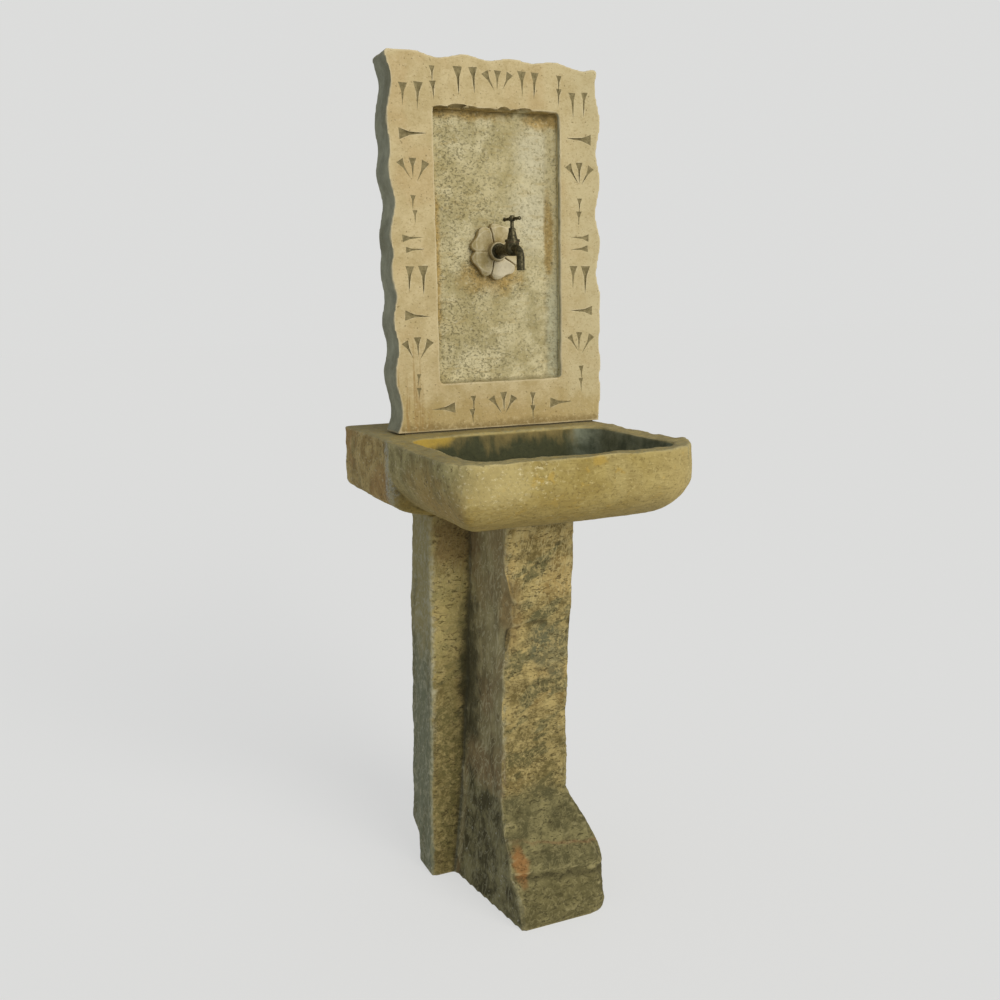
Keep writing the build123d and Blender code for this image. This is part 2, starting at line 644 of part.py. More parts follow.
def spout_path():
    corner = (0, -SPOUT_REACH, SPOUT_RISE)
    return FilletPolyline((0, 0, SPOUT_RISE), corner, (0, -SPOUT_REACH, -SPOUT_DROP), radius=SPOUT_BEND)


def along_spout(radius):
    path = spout_path()
    start = Plane(origin=path @ 0, z_dir=path % 0)
    return sweep(start * Circle(radius), path=path)


def tap_body():
    chamber = rod(CHAMBER_RADIUS, -CHAMBER_BELOW, CHAMBER_ABOVE)
    chamber = fillet(chamber.edges().sort_by(Axis.Z)[0], CHAMBER_ROUND)
    barrel_length = TAP_REACH - FLANGE_THICKNESS
    tail_end = ELBOW_FACE + SOCKET_GRIP - SPINDLE_Y
    body = chamber + BACK * rod(BARREL_RADIUS, 0, barrel_length) + along_spout(SPOUT_RADIUS)
    body += BACK * rod(INLET_TAIL_RADIUS, barrel_length, tail_end)
    body -= rod(CHAMBER_BORE, SEAT_HEIGHT, CHAMBER_ABOVE)
    body -= rod(SEAT_BORE, -INLET_DROP, SEAT_HEIGHT)
    body -= Pos(0, 0, -INLET_DROP) * BACK * rod(INLET_BORE, -INLET_BORE, tail_end)
    body -= along_spout(SPOUT_BORE) - rod(CHAMBER_RADIUS, -SPOUT_DROP, SEAT_HEIGHT)
    return TAP * body


def tap_flange():
    plate = rod(FLANGE_RADIUS, 0, FLANGE_THICKNESS)
    plate = chamfer(plate.edges().sort_by(Axis.Z)[-1], FLANGE_BEVEL)
    plate -= rod(INLET_TAIL_RADIUS + FIT, 0, FLANGE_THICKNESS)
    return Pos(PANEL_SHIFT, BOSS_FACE, TAP_LEVEL) * Rot(90, 0, 0) * plate


def bonnet_gasket():
    return TAP * pipe(GASKET_RADIUS, CHAMBER_BORE, CHAMBER_ABOVE, GASKET_TOP)


def tap_bonnet():
    skirt_low = CHAMBER_ABOVE - SKIRT_LENGTH
    outside = turned(
        [
            (0, skirt_low),
            (CHAMBER_BORE - FIT, skirt_low),
            (CHAMBER_BORE - FIT, GASKET_TOP),
            (COLLAR_RADIUS, GASKET_TOP),
            (COLLAR_RADIUS, COLLAR_TOP),
            (SHOULDER_RADIUS, COLLAR_TOP),
            (NECK_RADIUS, NECK_TOP),
            (0, NECK_TOP),
        ]
    )
    bores = rod(SKIRT_BORE, skirt_low, SKIRT_ROOF)
    bores += rod(SCREW_RADIUS + RUNNING_FIT, skirt_low, SCREW_ROOM)
    bores += rod(STEM_RADIUS + RUNNING_FIT, skirt_low, NECK_TOP)
    bores += rod(PACKING_RADIUS + RUNNING_FIT, PACKING_FLOOR, NECK_TOP)
    return TAP * (outside - bores)


def gland_packing():
    top = PACKING_FLOOR + PACKING_HEIGHT
    return TAP * pipe(PACKING_RADIUS, STEM_RADIUS + RUNNING_FIT, PACKING_FLOOR, top)


def gland_nut():
    lip = rod(PACKING_RADIUS, NECK_TOP - GLAND_NOSE, NECK_TOP)
    cap = Pos(0, 0, NECK_TOP) * extrude(RegularPolygon(GLAND_RADIUS, 6), GLAND_HEIGHT)
    cap = chamfer(cap.edges().group_by(Axis.Z)[-1], GLAND_LIP)
    return TAP * (lip + cap - rod(STEM_RADIUS + RUNNING_FIT, NECK_TOP - GLAND_NOSE, GLAND_TOP))


def tap_spindle():
    screw = rod(SCREW_RADIUS, JUMPER_TOP, SCREW_TOP)
    stem = rod(STEM_RADIUS, SCREW_TOP, STEM_TOP)
    square = block((-SQUARE / 2, SQUARE / 2), (-SQUARE / 2, SQUARE / 2), (STEM_TOP, SQUARE_TOP))
    bar = screw + stem + square
    bar -= rod(JUMPER_PIN_RADIUS + RUNNING_FIT, JUMPER_TOP, JUMPER_TOP + JUMPER_PIN_LENGTH + FIT)
    bar -= rod(CAP_SHANK_RADIUS + THREAD_FIT, SQUARE_TOP - CAP_SHANK_LENGTH - FIT, SQUARE_TOP)
    return TAP * Rot(0, 0, HANDLE_ANGLE) * bar


def tap_handle():
    half = HANDLE_SPAN / 2
    neck = half - 2 * HANDLE_KNOB_RADIUS
    middle = STEM_TOP + SQUARE_HEIGHT / 2
    upper = Curve() + [
        Line((0, 0), (0, HANDLE_BAR_RADIUS)),
        Line((0, HANDLE_BAR_RADIUS), (neck, HANDLE_BAR_RADIUS)),
        Spline(
            (neck, HANDLE_BAR_RADIUS),
            (half - HANDLE_KNOB_RADIUS, HANDLE_KNOB_RADIUS),
            (half, 0),
            tangents=[(1, 0), (0, -1)],
        ),
        Line((half, 0), (0, 0)),
    ]
    arm = revolve(make_face(upper), Axis.X)
    bar = Pos(0, 0, middle) * (arm + Rot(0, 0, 180) * arm)
    boss = rod(HANDLE_BOSS_RADIUS, STEM_TOP, SQUARE_TOP)
    grip = bar + boss
    side = SQUARE / 2 + FIT
    grip -= block((-side, side), (-side, side), (STEM_TOP, SQUARE_TOP))
    return TAP * Rot(0, 0, HANDLE_ANGLE) * grip


def handle_screw():
    cap = rod(CAP_RADIUS, SQUARE_TOP, SQUARE_TOP + CAP_HEIGHT)
    cap = fillet(cap.edges().sort_by(Axis.Z)[-1], CAP_HEIGHT * CAP_SHARE)
    return TAP * (cap + rod(CAP_SHANK_RADIUS, SQUARE_TOP - CAP_SHANK_LENGTH, SQUARE_TOP))


def jumper_valve():
    plate = rod(WASHER_RADIUS, WASHER_TOP, JUMPER_TOP)
    pin = rod(JUMPER_PIN_RADIUS, JUMPER_TOP, JUMPER_TOP + JUMPER_PIN_LENGTH)
    stud = rod(STUD_RADIUS, SEAT_HEIGHT - WASHER_NUT_THICKNESS, WASHER_TOP)
    return TAP * (plate + pin + stud)


def tap_washer():
    return TAP * pipe(WASHER_RADIUS, STUD_RADIUS + THREAD_FIT, SEAT_HEIGHT, WASHER_TOP)


def washer_nut():
    low = SEAT_HEIGHT - WASHER_NUT_THICKNESS
    nut = Pos(0, 0, low) * extrude(RegularPolygon(WASHER_NUT_RADIUS, 6), WASHER_NUT_THICKNESS)
    return TAP * (nut - rod(STUD_RADIUS + THREAD_FIT, low, SEAT_HEIGHT))


# Supply


def supply_elbow():
    face = Pos(0, ELBOW_FACE - RISER_Y, TAP_LEVEL) * BACK
    inlet = face * rod(ELBOW_RADIUS, 0, ELBOW_FRONT + ELBOW_BACK)
    socket = rod(ELBOW_SOCKET_RADIUS, TAP_LEVEL - ELBOW_SOCKET_LENGTH, TAP_LEVEL)
    bores = face * rod(INLET_TAIL_RADIUS + THREAD_FIT, 0, SOCKET_GRIP)
    bores += face * rod(PIPE_BORE, 0, ELBOW_FRONT)
    bores += rod(PIPE_BORE, TAP_LEVEL - ELBOW_SOCKET_LENGTH, TAP_LEVEL)
    low = TAP_LEVEL - ELBOW_SOCKET_LENGTH
    bores += rod(PIPE_RADIUS + THREAD_FIT, low, low + SOCKET_GRIP)
    return RISER * (inlet + socket - bores)


def riser_span():
    low = UNION_FOOT + UNION_THREAD_LENGTH + UNION_HEX_HEIGHT
    high = TAP_LEVEL - ELBOW_SOCKET_LENGTH + SOCKET_GRIP
    return low, high


def supply_riser():
    return RISER * pipe(PIPE_RADIUS, PIPE_BORE, *riser_span())


def riser_clips():
    foot_depth = RISER_Y - CHASE_FLOOR
    half = CLIP_WIDTH / 2
    clips = []
    for level in CLIP_LEVELS:
        ring = rod(CLIP_RADIUS, level - half, level + half)
        ring += block((-CLIP_FOOT / 2, CLIP_FOOT / 2), (-foot_depth, 0), (level - half, level + half))
        ring -= rod(PIPE_RADIUS + FIT, level - half, level + half)
        ring -= Pos(0, -foot_depth, level) * BACK * rod(CLIP_STUD_RADIUS + FIT, 0, foot_depth - CLIP_RADIUS)
        clips.append(RISER * ring)
    return Compound(clips)


def clip_studs():
    reach = RISER_Y - CLIP_RADIUS - CHASE_FLOOR
    stud = BACK * rod(CLIP_STUD_RADIUS, -CLIP_STUD_GRIP, reach)
    return Compound([Pos(PANEL_SHIFT, CHASE_FLOOR, level) * stud for level in CLIP_LEVELS])


def supply_union():
    thread_top = UNION_FOOT + UNION_THREAD_LENGTH
    hex_top = thread_top + UNION_HEX_HEIGHT
    body = rod(UNION_THREAD_RADIUS, UNION_FOOT, thread_top)
    body += Pos(0, 0, thread_top) * extrude(RegularPolygon(UNION_HEX_RADIUS, 6), UNION_HEX_HEIGHT)
    body += rod(UNION_COLLAR_RADIUS, hex_top, hex_top + UNION_COLLAR_HEIGHT)
    body -= rod(PIPE_BORE, UNION_FOOT, hex_top)
    body -= rod(PIPE_RADIUS + THREAD_FIT, hex_top, hex_top + UNION_COLLAR_HEIGHT)
    return RISER * body


# Waste


def waste_strainer():
    plate_low = CAVITY_FLOOR - WASTE_FLANGE_THICKNESS
    plate = rod(WASTE_FLANGE_RADIUS, plate_low, CAVITY_FLOOR)
    plate = fillet(plate.edges().sort_by(Axis.Z)[-1], WASTE_FLANGE_THICKNESS / 2)
    body = plate + pipe(WASTE_TAIL_RADIUS, WASTE_TAIL_BORE, WASTE_TAIL_END, plate_low)
    slot = Pos(WASTE_SLOT_RING, 0, plate_low) * extrude(
        SlotOverall(WASTE_SLOT_LENGTH, WASTE_SLOT_WIDTH), WASTE_FLANGE_THICKNESS
    )
    for index in range(WASTE_SLOTS):
        body -= Rot(0, 0, 360 * index / WASTE_SLOTS) * slot
    return WASTE * body


def waste_seal():
    return WASTE * pipe(WASTE_FLANGE_RADIUS, WASTE_HOLE, WASTE_SEAT, WASTE_SEAT + WASTE_SEAL_THICKNESS)


def waste_washer():
    low = BASIN_BOTTOM - WASTE_WASHER_THICKNESS
    return WASTE * pipe(WASTE_WASHER_RADIUS, WASTE_TAIL_RADIUS + THREAD_FIT, low, BASIN_BOTTOM)


def waste_backnut():
    high = BASIN_BOTTOM - WASTE_WASHER_THICKNESS
    low = high - WASTE_NUT_THICKNESS
    nut = Pos(0, 0, low) * extrude(RegularPolygon(WASTE_NUT_RADIUS, 6), WASTE_NUT_THICKNESS)
    return WASTE * (nut - rod(WASTE_TAIL_RADIUS + THREAD_FIT, low, high))


def waste_pipe():
    low = SPIGOT_FOOT + SPIGOT_LENGTH - SPIGOT_GRIP
    return WASTE * pipe(WASTE_PIPE_RADIUS, WASTE_PIPE_BORE, low, WASTE_TAIL_END + WASTE_PIPE_GRIP)


def waste_spigot():
    high = SPIGOT_FOOT + SPIGOT_LENGTH
    body = pipe(SPIGOT_RADIUS, WASTE_PIPE_BORE, SPIGOT_FOOT, high)
    return WASTE * (body - rod(WASTE_PIPE_RADIUS + THREAD_FIT, high - SPIGOT_GRIP, high))


PIECES = {
    "pedestal": pedestal,
    "basin_bed": basin_bed,
    "basin_dowels": basin_dowels,
    "basin": basin,
    "panel_bed": panel_bed,
    "panel_dowels": panel_dowels,
    "back_panel": back_panel,
    "tap_body": tap_body,
    "tap_flange": tap_flange,
    "bonnet_gasket": bonnet_gasket,
    "tap_bonnet": tap_bonnet,
    "gland_packing": gland_packing,
    "gland_nut": gland_nut,
    "tap_spindle": tap_spindle,
    "tap_handle": tap_handle,
    "handle_screw": handle_screw,
    "jumper_valve": jumper_valve,
    "tap_washer": tap_washer,
    "washer_nut": washer_nut,
    "supply_elbow": supply_elbow,
    "supply_riser": supply_riser,
    "riser_clips": riser_clips,
    "clip_studs": clip_studs,
    "supply_union": supply_union,
    "waste_strainer": waste_strainer,
    "waste_seal": waste_seal,
    "waste_washer": waste_washer,
    "waste_backnut": waste_backnut,
    "waste_pipe": waste_pipe,
    "waste_spigot": waste_spigot,
}

os.makedirs("parts", exist_ok=True)
for name, make in PIECES.items():
    export_step(make(), f"parts/{name}.step")
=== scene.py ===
import math
import random

import bpy
from mathutils import Matrix, Vector


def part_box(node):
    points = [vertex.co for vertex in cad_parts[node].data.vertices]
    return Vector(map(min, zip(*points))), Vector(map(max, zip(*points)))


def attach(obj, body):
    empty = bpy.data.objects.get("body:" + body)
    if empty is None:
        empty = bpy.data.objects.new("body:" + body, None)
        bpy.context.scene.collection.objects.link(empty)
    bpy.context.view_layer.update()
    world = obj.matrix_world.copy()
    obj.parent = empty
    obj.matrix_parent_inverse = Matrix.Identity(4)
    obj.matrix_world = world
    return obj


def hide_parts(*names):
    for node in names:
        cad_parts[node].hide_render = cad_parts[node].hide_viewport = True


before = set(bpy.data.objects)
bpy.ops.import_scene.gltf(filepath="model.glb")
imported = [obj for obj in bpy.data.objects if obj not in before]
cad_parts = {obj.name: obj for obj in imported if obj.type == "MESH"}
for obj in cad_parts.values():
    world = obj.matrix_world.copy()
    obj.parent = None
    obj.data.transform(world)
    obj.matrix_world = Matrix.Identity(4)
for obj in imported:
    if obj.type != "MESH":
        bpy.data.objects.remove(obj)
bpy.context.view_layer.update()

scene = bpy.context.scene
scene.view_settings.view_transform = "Standard"


# Studio: a plain pale floor, one large soft lamp from the front and an even, slightly cool world.
# The world shows itself to the camera and to polished metal as a pale backdrop, and the floor glows to match.
floor_size = 60.0
bpy.ops.object.select_all(action="DESELECT")
bpy.ops.mesh.primitive_plane_add(size=floor_size, location=(0, 0, 0))
floor = bpy.context.object
floor.name = "studio_floor"
floor_paint = bpy.data.materials.new("studio_floor")
floor_paint.use_nodes = True
floor_shader = floor_paint.node_tree.nodes["Principled BSDF"]
floor_shader.inputs["Base Color"].default_value = (0.75, 0.75, 0.74, 1)
floor_shader.inputs["Roughness"].default_value = 0.95
floor_shader.inputs["Specular IOR Level"].default_value = 0.0
floor.data.materials.append(floor_paint)

lamp_data = bpy.data.lights.new("soft_lamp", "SUN")
lamp_data.angle = math.radians(40)
lamp_data.energy = 2.2
lamp_data.color = (1.0, 0.97, 0.92)
lamp = bpy.data.objects.new("soft_lamp", lamp_data)
lamp.rotation_euler = (math.radians(71), 0, math.radians(16))
scene.collection.objects.link(lamp)

world = bpy.data.worlds.new("studio_world")
world.use_nodes = True
scene.world = world
sky = world.node_tree.nodes["Background"]
sky.inputs["Color"].default_value = (0.93, 0.97, 1.0, 1)
sky.inputs["Strength"].default_value = 0.3
backdrop = world.node_tree.nodes.new("ShaderNodeBackground")
backdrop.inputs["Color"].default_value = (0.717, 0.719, 0.711, 1)
glow = floor_paint.node_tree.nodes.new("ShaderNodeEmission")
glow.inputs["Color"].default_value = (0.94, 0.94, 0.93, 1)
world_share, floor_share = 1.0, 0.6
for tree, plain, pale, share in (
    (world.node_tree, sky, backdrop, world_share),
    (floor_paint.node_tree, floor_shader, glow, floor_share),
):
    seen = tree.nodes.new("ShaderNodeLightPath")
    either = tree.nodes.new("ShaderNodeMath")
    either.operation = "MAXIMUM"
    through = tree.nodes.new("ShaderNodeMath")
    through.operation = "MAXIMUM"
    part = tree.nodes.new("ShaderNodeMath")
    part.operation = "MULTIPLY"
    part.inputs[1].default_value = share
    switch = tree.nodes.new("ShaderNodeMixShader")
    tree.links.new(seen.outputs["Is Camera Ray"], either.inputs[0])
    tree.links.new(seen.outputs["Is Glossy Ray"], either.inputs[1])
    tree.links.new(either.outputs[0], through.inputs[0])
    tree.links.new(seen.outputs["Is Transmission Ray"], through.inputs[1])
    tree.links.new(through.outputs[0], part.inputs[0])
    tree.links.new(part.outputs[0], switch.inputs["Fac"])
    tree.links.new(plain.outputs[0], switch.inputs[1])
    tree.links.new(pale.outputs[0], switch.inputs[2])
    ending = tree.nodes.get("World Output") or tree.nodes.get("Material Output")
    tree.links.new(switch.outputs[0], ending.inputs["Surface"])


# Camera: at eye height, to the left of the fountain, looking slightly down.
# Its place, turn and lens were fitted to the edges of the stones.
camera_place = (-0.921, -2.046, 1.252)
camera_yaw, camera_pitch, camera_roll = [math.radians(angle) for angle in (23.49, -10.49, -1.15)]
camera_data = bpy.data.cameras.new("camera")
camera_data.sensor_width = 36
camera_data.lens = 39.28
camera = bpy.data.objects.new("camera", camera_data)
turn = Matrix.Rotation(-camera_yaw, 4, "Z") @ Matrix.Rotation(math.pi / 2 + camera_pitch, 4, "X")
camera.matrix_world = Matrix.Translation(camera_place) @ turn @ Matrix.Rotation(camera_roll, 4, "Z")
scene.collection.objects.link(camera)
scene.camera = camera


# Pedestal: one block of limestone, T-shaped in plan, hewn with a point and left rough.
# It stands on the ground by its own weight; the front pier spreads into a rounded foot.
def lone(obj):
    """Makes one object the only one that operators act on."""
    bpy.ops.object.select_all(action="DESELECT")
    obj.select_set(True)
    bpy.context.view_layer.objects.active = obj


def quarried(node, name):
    """A copy of a CAD solid, its loose triangles merged, as the block that the mason starts from."""
    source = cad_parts[node]
    block = bpy.data.objects.new(name, source.data.copy())
    block.data.name = name
    scene.collection.objects.link(block)
    block.data.materials.clear()
    lone(block)
    bpy.ops.object.mode_set(mode="EDIT")
    bpy.ops.mesh.select_all(action="SELECT")
    bpy.ops.mesh.remove_doubles(threshold=0.00002)
    bpy.ops.object.mode_set(mode="OBJECT")
    return block


def worked(obj, kind, **settings):
    """One modifier, set and applied."""
    lone(obj)
    tool = obj.modifiers.new(kind.lower(), kind)
    for name, value in settings.items():
        setattr(tool, name, value)
    bpy.ops.object.modifier_apply(modifier=tool.name)


def ease(value, low, high):
    """0 below low, 1 above high, smooth between."""
    share = min(max((value - low) / (high - low), 0.0), 1.0)
    return share * share * (3 - 2 * share)


def area(obj, name, rule):
    """Vertex group for the places where a tool is used: rule gives 0 to 1 from a point and its normal."""
    group = obj.vertex_groups.new(name=name)
    for vertex in obj.data.vertices:
        group.add([vertex.index], rule(vertex.co, vertex.normal), "REPLACE")


def roughened(obj, size, depth, within="", stretch=(1, 1, 1), middle=0.5, direction="NORMAL", **settings):
    """Presses a cloudy pattern of that size into the stone, to that depth. Stretch draws it out."""
    pattern = bpy.data.textures.new(obj.name + "_pattern", "CLOUDS")
    pattern.noise_scale = size
    for name, value in settings.items():
        setattr(pattern, name, value)
    guide = bpy.data.objects.new(obj.name + "_guide", None)
    guide.scale = stretch
    scene.collection.objects.link(guide)
    bpy.context.view_layer.update()
    worked(
        obj, "DISPLACE", texture=pattern, texture_coords="OBJECT", texture_coords_object=guide,
        strength=depth, mid_level=middle, vertex_group=within, direction=direction,
    )
    bpy.data.objects.remove(guide)


def pushed(obj, axis, depth, rule):
    """Moves the stone along one axis, most where the rule is 1, as a mason dresses back a face."""
    area(obj, "push", rule)
    worked(obj, "DISPLACE", strength=depth, mid_level=0.0, vertex_group="push", direction=axis)
    obj.vertex_groups.remove(obj.vertex_groups["push"])


def shade_and_wear_painted(obj):
    """Paints how hollow or proud each place is, a half where flat. The finish reads it as dirt and painted
    shade in the hollows, wear and painted highlight on proud edges.
    """
    lone(obj)
    bpy.ops.object.shade_smooth_by_angle(angle=math.radians(55))
    bpy.ops.geometry.color_attribute_add(
        name="dirt_shade_and_wear", domain="CORNER", data_type="FLOAT_COLOR", color=(1, 1, 1, 1),
    )
    bpy.ops.paint.vertex_color_dirt(
        blur_strength=1.0, blur_iterations=2, normalize=False,
        clean_angle=math.radians(104), dirt_angle=math.radians(76),
    )


class Layer:
    """One value or colour of a finish. Sums, differences and products of values add Math nodes."""

    def __init__(self, tree, socket):
        self.tree = tree
        self.socket = socket

    def node(self, kind, settings, sockets, out=0):
        """Any other node: its settings first, then the numbers, colours or layers of its sockets."""
        made = self.tree.nodes.new(kind)
        for name, value in settings.items():
            setattr(made, name, value)
        for name, value in sockets.items():
            if isinstance(value, Layer):
                self.tree.links.new(value.socket, made.inputs[name])
            else:
                made.inputs[name].default_value = value
        return Layer(self.tree, made.outputs[out])

    def math(self, operation, first, second):
        return self.node("ShaderNodeMath", {"operation": operation}, {0: first, 1: second})

    def __add__(self, other):
        return self.math("ADD", self, other)

    def __sub__(self, other):
        return self.math("SUBTRACT", self, other)

    def __rsub__(self, other):
        return self.math("SUBTRACT", other, self)

    def __mul__(self, other):
        return self.math("MULTIPLY", self, other)

    __radd__ = __add__


def started(name):
    """A new material and its object coordinates."""
    material = bpy.data.materials.new(name)
    material.use_nodes = True
    tree = material.node_tree
    place = Layer(tree, tree.nodes.new("ShaderNodeTexCoord").outputs["Object"])
    return material, place


def finished(material, colour, roughness, height, depth, metallic=0.0):
    """Sets the shader: colour, roughness and a relief whose full height is depth metres."""
    tree = material.node_tree
    shader = tree.nodes["Principled BSDF"]
    relief = colour.node("ShaderNodeBump", {}, {"Height": height, "Distance": depth, "Strength": 1.0})
    tree.links.new(colour.socket, shader.inputs["Base Color"])
    tree.links.new(relief.socket, shader.inputs["Normal"])
    tree.links.new(roughness.socket, shader.inputs["Roughness"])
    shader.inputs["Metallic"].default_value = metallic
    shader.inputs["Specular IOR Level"].default_value = 0.25
    return material


def step(value, low, high):
    """0 below low, 1 above high, smooth between."""
    sockets = {"Value": value, "From Min": low, "From Max": high}
    return value.node("ShaderNodeMapRange", {"interpolation_type": "SMOOTHSTEP"}, sockets)


def below(value, low, high):
    """1 below low, 0 above high, smooth between."""
    return 1 - step(value, low, high)


def between(value, low, high, soft):
    """1 from low to high, fading over soft at both ends."""
    return step(value, low - soft, low + soft) * below(value, high - soft, high + soft)


def uneven(value, noise, reach):
    """A value shifted by a noise, up to half of reach either way, so that an edge drawn from it is ragged."""
    return value + (noise - 0.5) * reach


def along(place, axis):
    """One coordinate."""
    return place.node("ShaderNodeSeparateXYZ", {}, {0: place}, out=axis)


def facing(place, axis):
    """Part of the surface's normal along one axis."""
    normal = place.node("ShaderNodeTexCoord", {}, {}, out="Normal")
    return place.node("ShaderNodeSeparateXYZ", {}, {0: normal}, out=axis)


def dirt_shade_and_wear(place):
    """The painted tone: below a half in hollows, above it on proud edges."""
    return place.node("ShaderNodeAttribute", {"attribute_name": "dirt_shade_and_wear"}, {}, out="Fac")


def drawn(place, x, y, z, turned=(0, 0, 0)):
    """Coordinates turned, then pressed together along an axis, which draws a pattern out along the others."""
    sockets = {"Vector": place, "Scale": (1 / x, 1 / y, 1 / z), "Rotation": turned}
    return place.node("ShaderNodeMapping", {"vector_type": "TEXTURE"}, sockets)


def cloud(place, size, detail=5.0, roughness=0.6, distortion=0.0):
    """Soft noise whose patches are about that size in metres."""
    sockets = {
        "Vector": place, "Scale": 1 / size,
        "Detail": detail, "Roughness": roughness, "Distortion": distortion,
    }
    return place.node("ShaderNodeTexNoise", {}, sockets)


def lines(place, size, width):
    """Thin winding lines, where a soft noise crosses its middle value."""
    noise = cloud(place, size, 2, 0.5, 1.2)
    return below(noise.math("ABSOLUTE", noise - 0.5, 0.0), width * 0.3, width)


def spot(place, centre, reach, ragged, softness=0.35):
    """1 within a rounded patch about centre, fading at its ragged edge."""
    offset = place.node("ShaderNodeVectorMath", {"operation": "SUBTRACT"}, {0: place, 1: centre})
    scaled = place.node("ShaderNodeVectorMath", {"operation": "DIVIDE"}, {0: offset, 1: reach})
    away = place.node("ShaderNodeVectorMath", {"operation": "LENGTH"}, {0: scaled}, out="Value")
    return below(uneven(away, ragged, 1.6), 1 - softness, 1 + softness)


def tint(share, first, second):
    """First colour where share is 0, second where it is 1."""
    both = {6: first, 7: second}
    for socket, colour in both.items():
        if not isinstance(colour, Layer):
            both[socket] = (*colour, 1)
    return share.node("ShaderNodeMix", {"data_type": "RGBA"}, {0: share, **both}, out=2)


def coated(base, *coats):
    """Lays coats over a base colour. Each is its name, where it lies, how much of it shows and its colour."""
    for name, where, share, colour in coats:
        base = tint(where * share, base, colour)
        base.socket.node.label = name
    return base


pedestal_voxel = 0.004
ground_line, bed_line = 0.004, 0.806
shelf_height, shelf_slope, shelf_depth = 0.612, 0.1, 0.007
ledge_height, ledge_slope, ledge_depth = 0.104, 0.12, 0.009
scoop_depth = 0.017
foot_spread, foot_swell = 0.012, 0.015


def open_face(co):
    """1 on the faces that are free to be hewn, 0 at the ground and under the mortar bed."""
    return ease(co.z, ground_line, 0.03) * ease(bed_line - co.z, 0.0, 0.02)


def under_shelf(co, normal):
    """Front of the pier under the shelf two thirds of the way up, which rises to the right."""
    face = ease(-co.y, 0.05, 0.1) * ease(-normal.y, 0.1, 0.4)
    return face * ease(shelf_height + shelf_slope * co.x - co.z, 0, 0.01) * ease(co.z, 0.5, 0.6)


def under_ledge(co, normal):
    """Front of the foot under the ledge across it, which falls to the right."""
    lower = ease(ledge_height - ledge_slope * co.x - co.z, -0.004, 0.012)
    return ease(-co.y, 0.15, 0.2) * lower * ease(co.z, 0.01, 0.07)


def foot_left(co, normal):
    """Left flank of the foot, where it spreads."""
    flank = ease(-co.y, 0.1, 0.16) * ease(-co.x, -0.02, 0.06)
    return flank * ease(co.z, 0.03, 0.12) * ease(0.28 - co.z, 0, 0.1)


def scooped_corner(co, normal):
    """Left front corner of the pier, struck off in a long scoop."""
    corner = ease(-co.y, 0.085, 0.125) * ease(-co.x, 0.03, 0.07)
    return corner * ease(co.z, 0.5, 0.63) * ease(0.74 - co.z, 0, 0.1)


def foot_right(co, normal):
    """Right flank of the foot, where it swells."""
    flank = ease(co.x, 0.0, 0.06) * ease(-co.y, 0.08, 0.15)
    return flank * ease(co.z, 0.04, 0.14) * ease(0.25 - co.z, 0, 0.08)


pedestal = quarried("pedestal", "pedestal_stone")
worked(pedestal, "REMESH", mode="VOXEL", voxel_size=pedestal_voxel)
worked(pedestal, "SMOOTH", factor=0.5, iterations=3)
area(pedestal, "hewn", lambda co, normal: open_face(co))
area(pedestal, "pier", lambda co, normal: open_face(co) * ease(-normal.y, 0.2, 0.6) * ease(-co.y, 0.0, 0.06))
area(pedestal, "pecked", lambda co, normal: open_face(co) * (0.25 + 0.75 * ease(-normal.y, 0.2, 0.6)))
pushed(pedestal, "Y", shelf_depth, under_shelf)
pushed(pedestal, "Y", ledge_depth, under_ledge)
pushed(pedestal, "X", -foot_spread, foot_left)
pushed(pedestal, "X", scoop_depth, scooped_corner)
pushed(pedestal, "X", foot_swell, foot_right)
roughened(pedestal, size=0.15, depth=0.01, within="hewn", noise_depth=2)
roughened(pedestal, size=0.05, depth=0.005, within="hewn", noise_depth=3)
roughened(
    pedestal, size=0.04, depth=0.011, within="pier", stretch=(3, 1, 0.9),
    noise_depth=2, noise_type="HARD_NOISE",
)
roughened(
    pedestal, size=0.017, depth=0.004, within="pecked", stretch=(1.3, 1.3, 0.8),
    noise_depth=2, noise_type="HARD_NOISE",
)
roughened(pedestal, size=0.009, depth=0.0016, within="hewn", noise_depth=1)
shade_and_wear_painted(pedestal)

pedestal_stone, place = started("hewn_limestone")
x, y, z = [along(place, axis) for axis in "XYZ"]
tone = dirt_shade_and_wear(place)
broad = cloud(place, 0.14, 3, 0.5)
patches = cloud(place, 0.045, 6, 0.65)
fine = cloud(place, 0.012, 5, 0.72)
grit = cloud(place, 0.0035, 3, 0.6)
slant = cloud(drawn(place, 0.5, 0.6, 1.4, (0, -0.45, 0)), 0.06, 5, 0.62)
runs = cloud(drawn(place, 1, 1, 0.25), 0.045, 5, 0.65)
pecks = step(cloud(drawn(place, 0.7, 0.7, 1.5), 0.008, 3, 0.6, 1.2), 0.54, 0.68) * step(patches, 0.34, 0.56)
curls = lines(place, 0.024, 0.035)
hairs = lines(drawn(place, 1, 1, 0.35, (0.2, 0.25, 0)), 0.018, 0.04)
hatch = lines(drawn(place, 1.3, 1, 0.16, (0, 0.26, 0)), 0.014, 0.05)
hatch = hatch * step(uneven(z, patches, 0.2), 0.6, 0.68)
front = step(facing(place, "Y") * -1, 0.2, 0.7)
side = step(facing(place, "X") * -1, 0.3, 0.75)
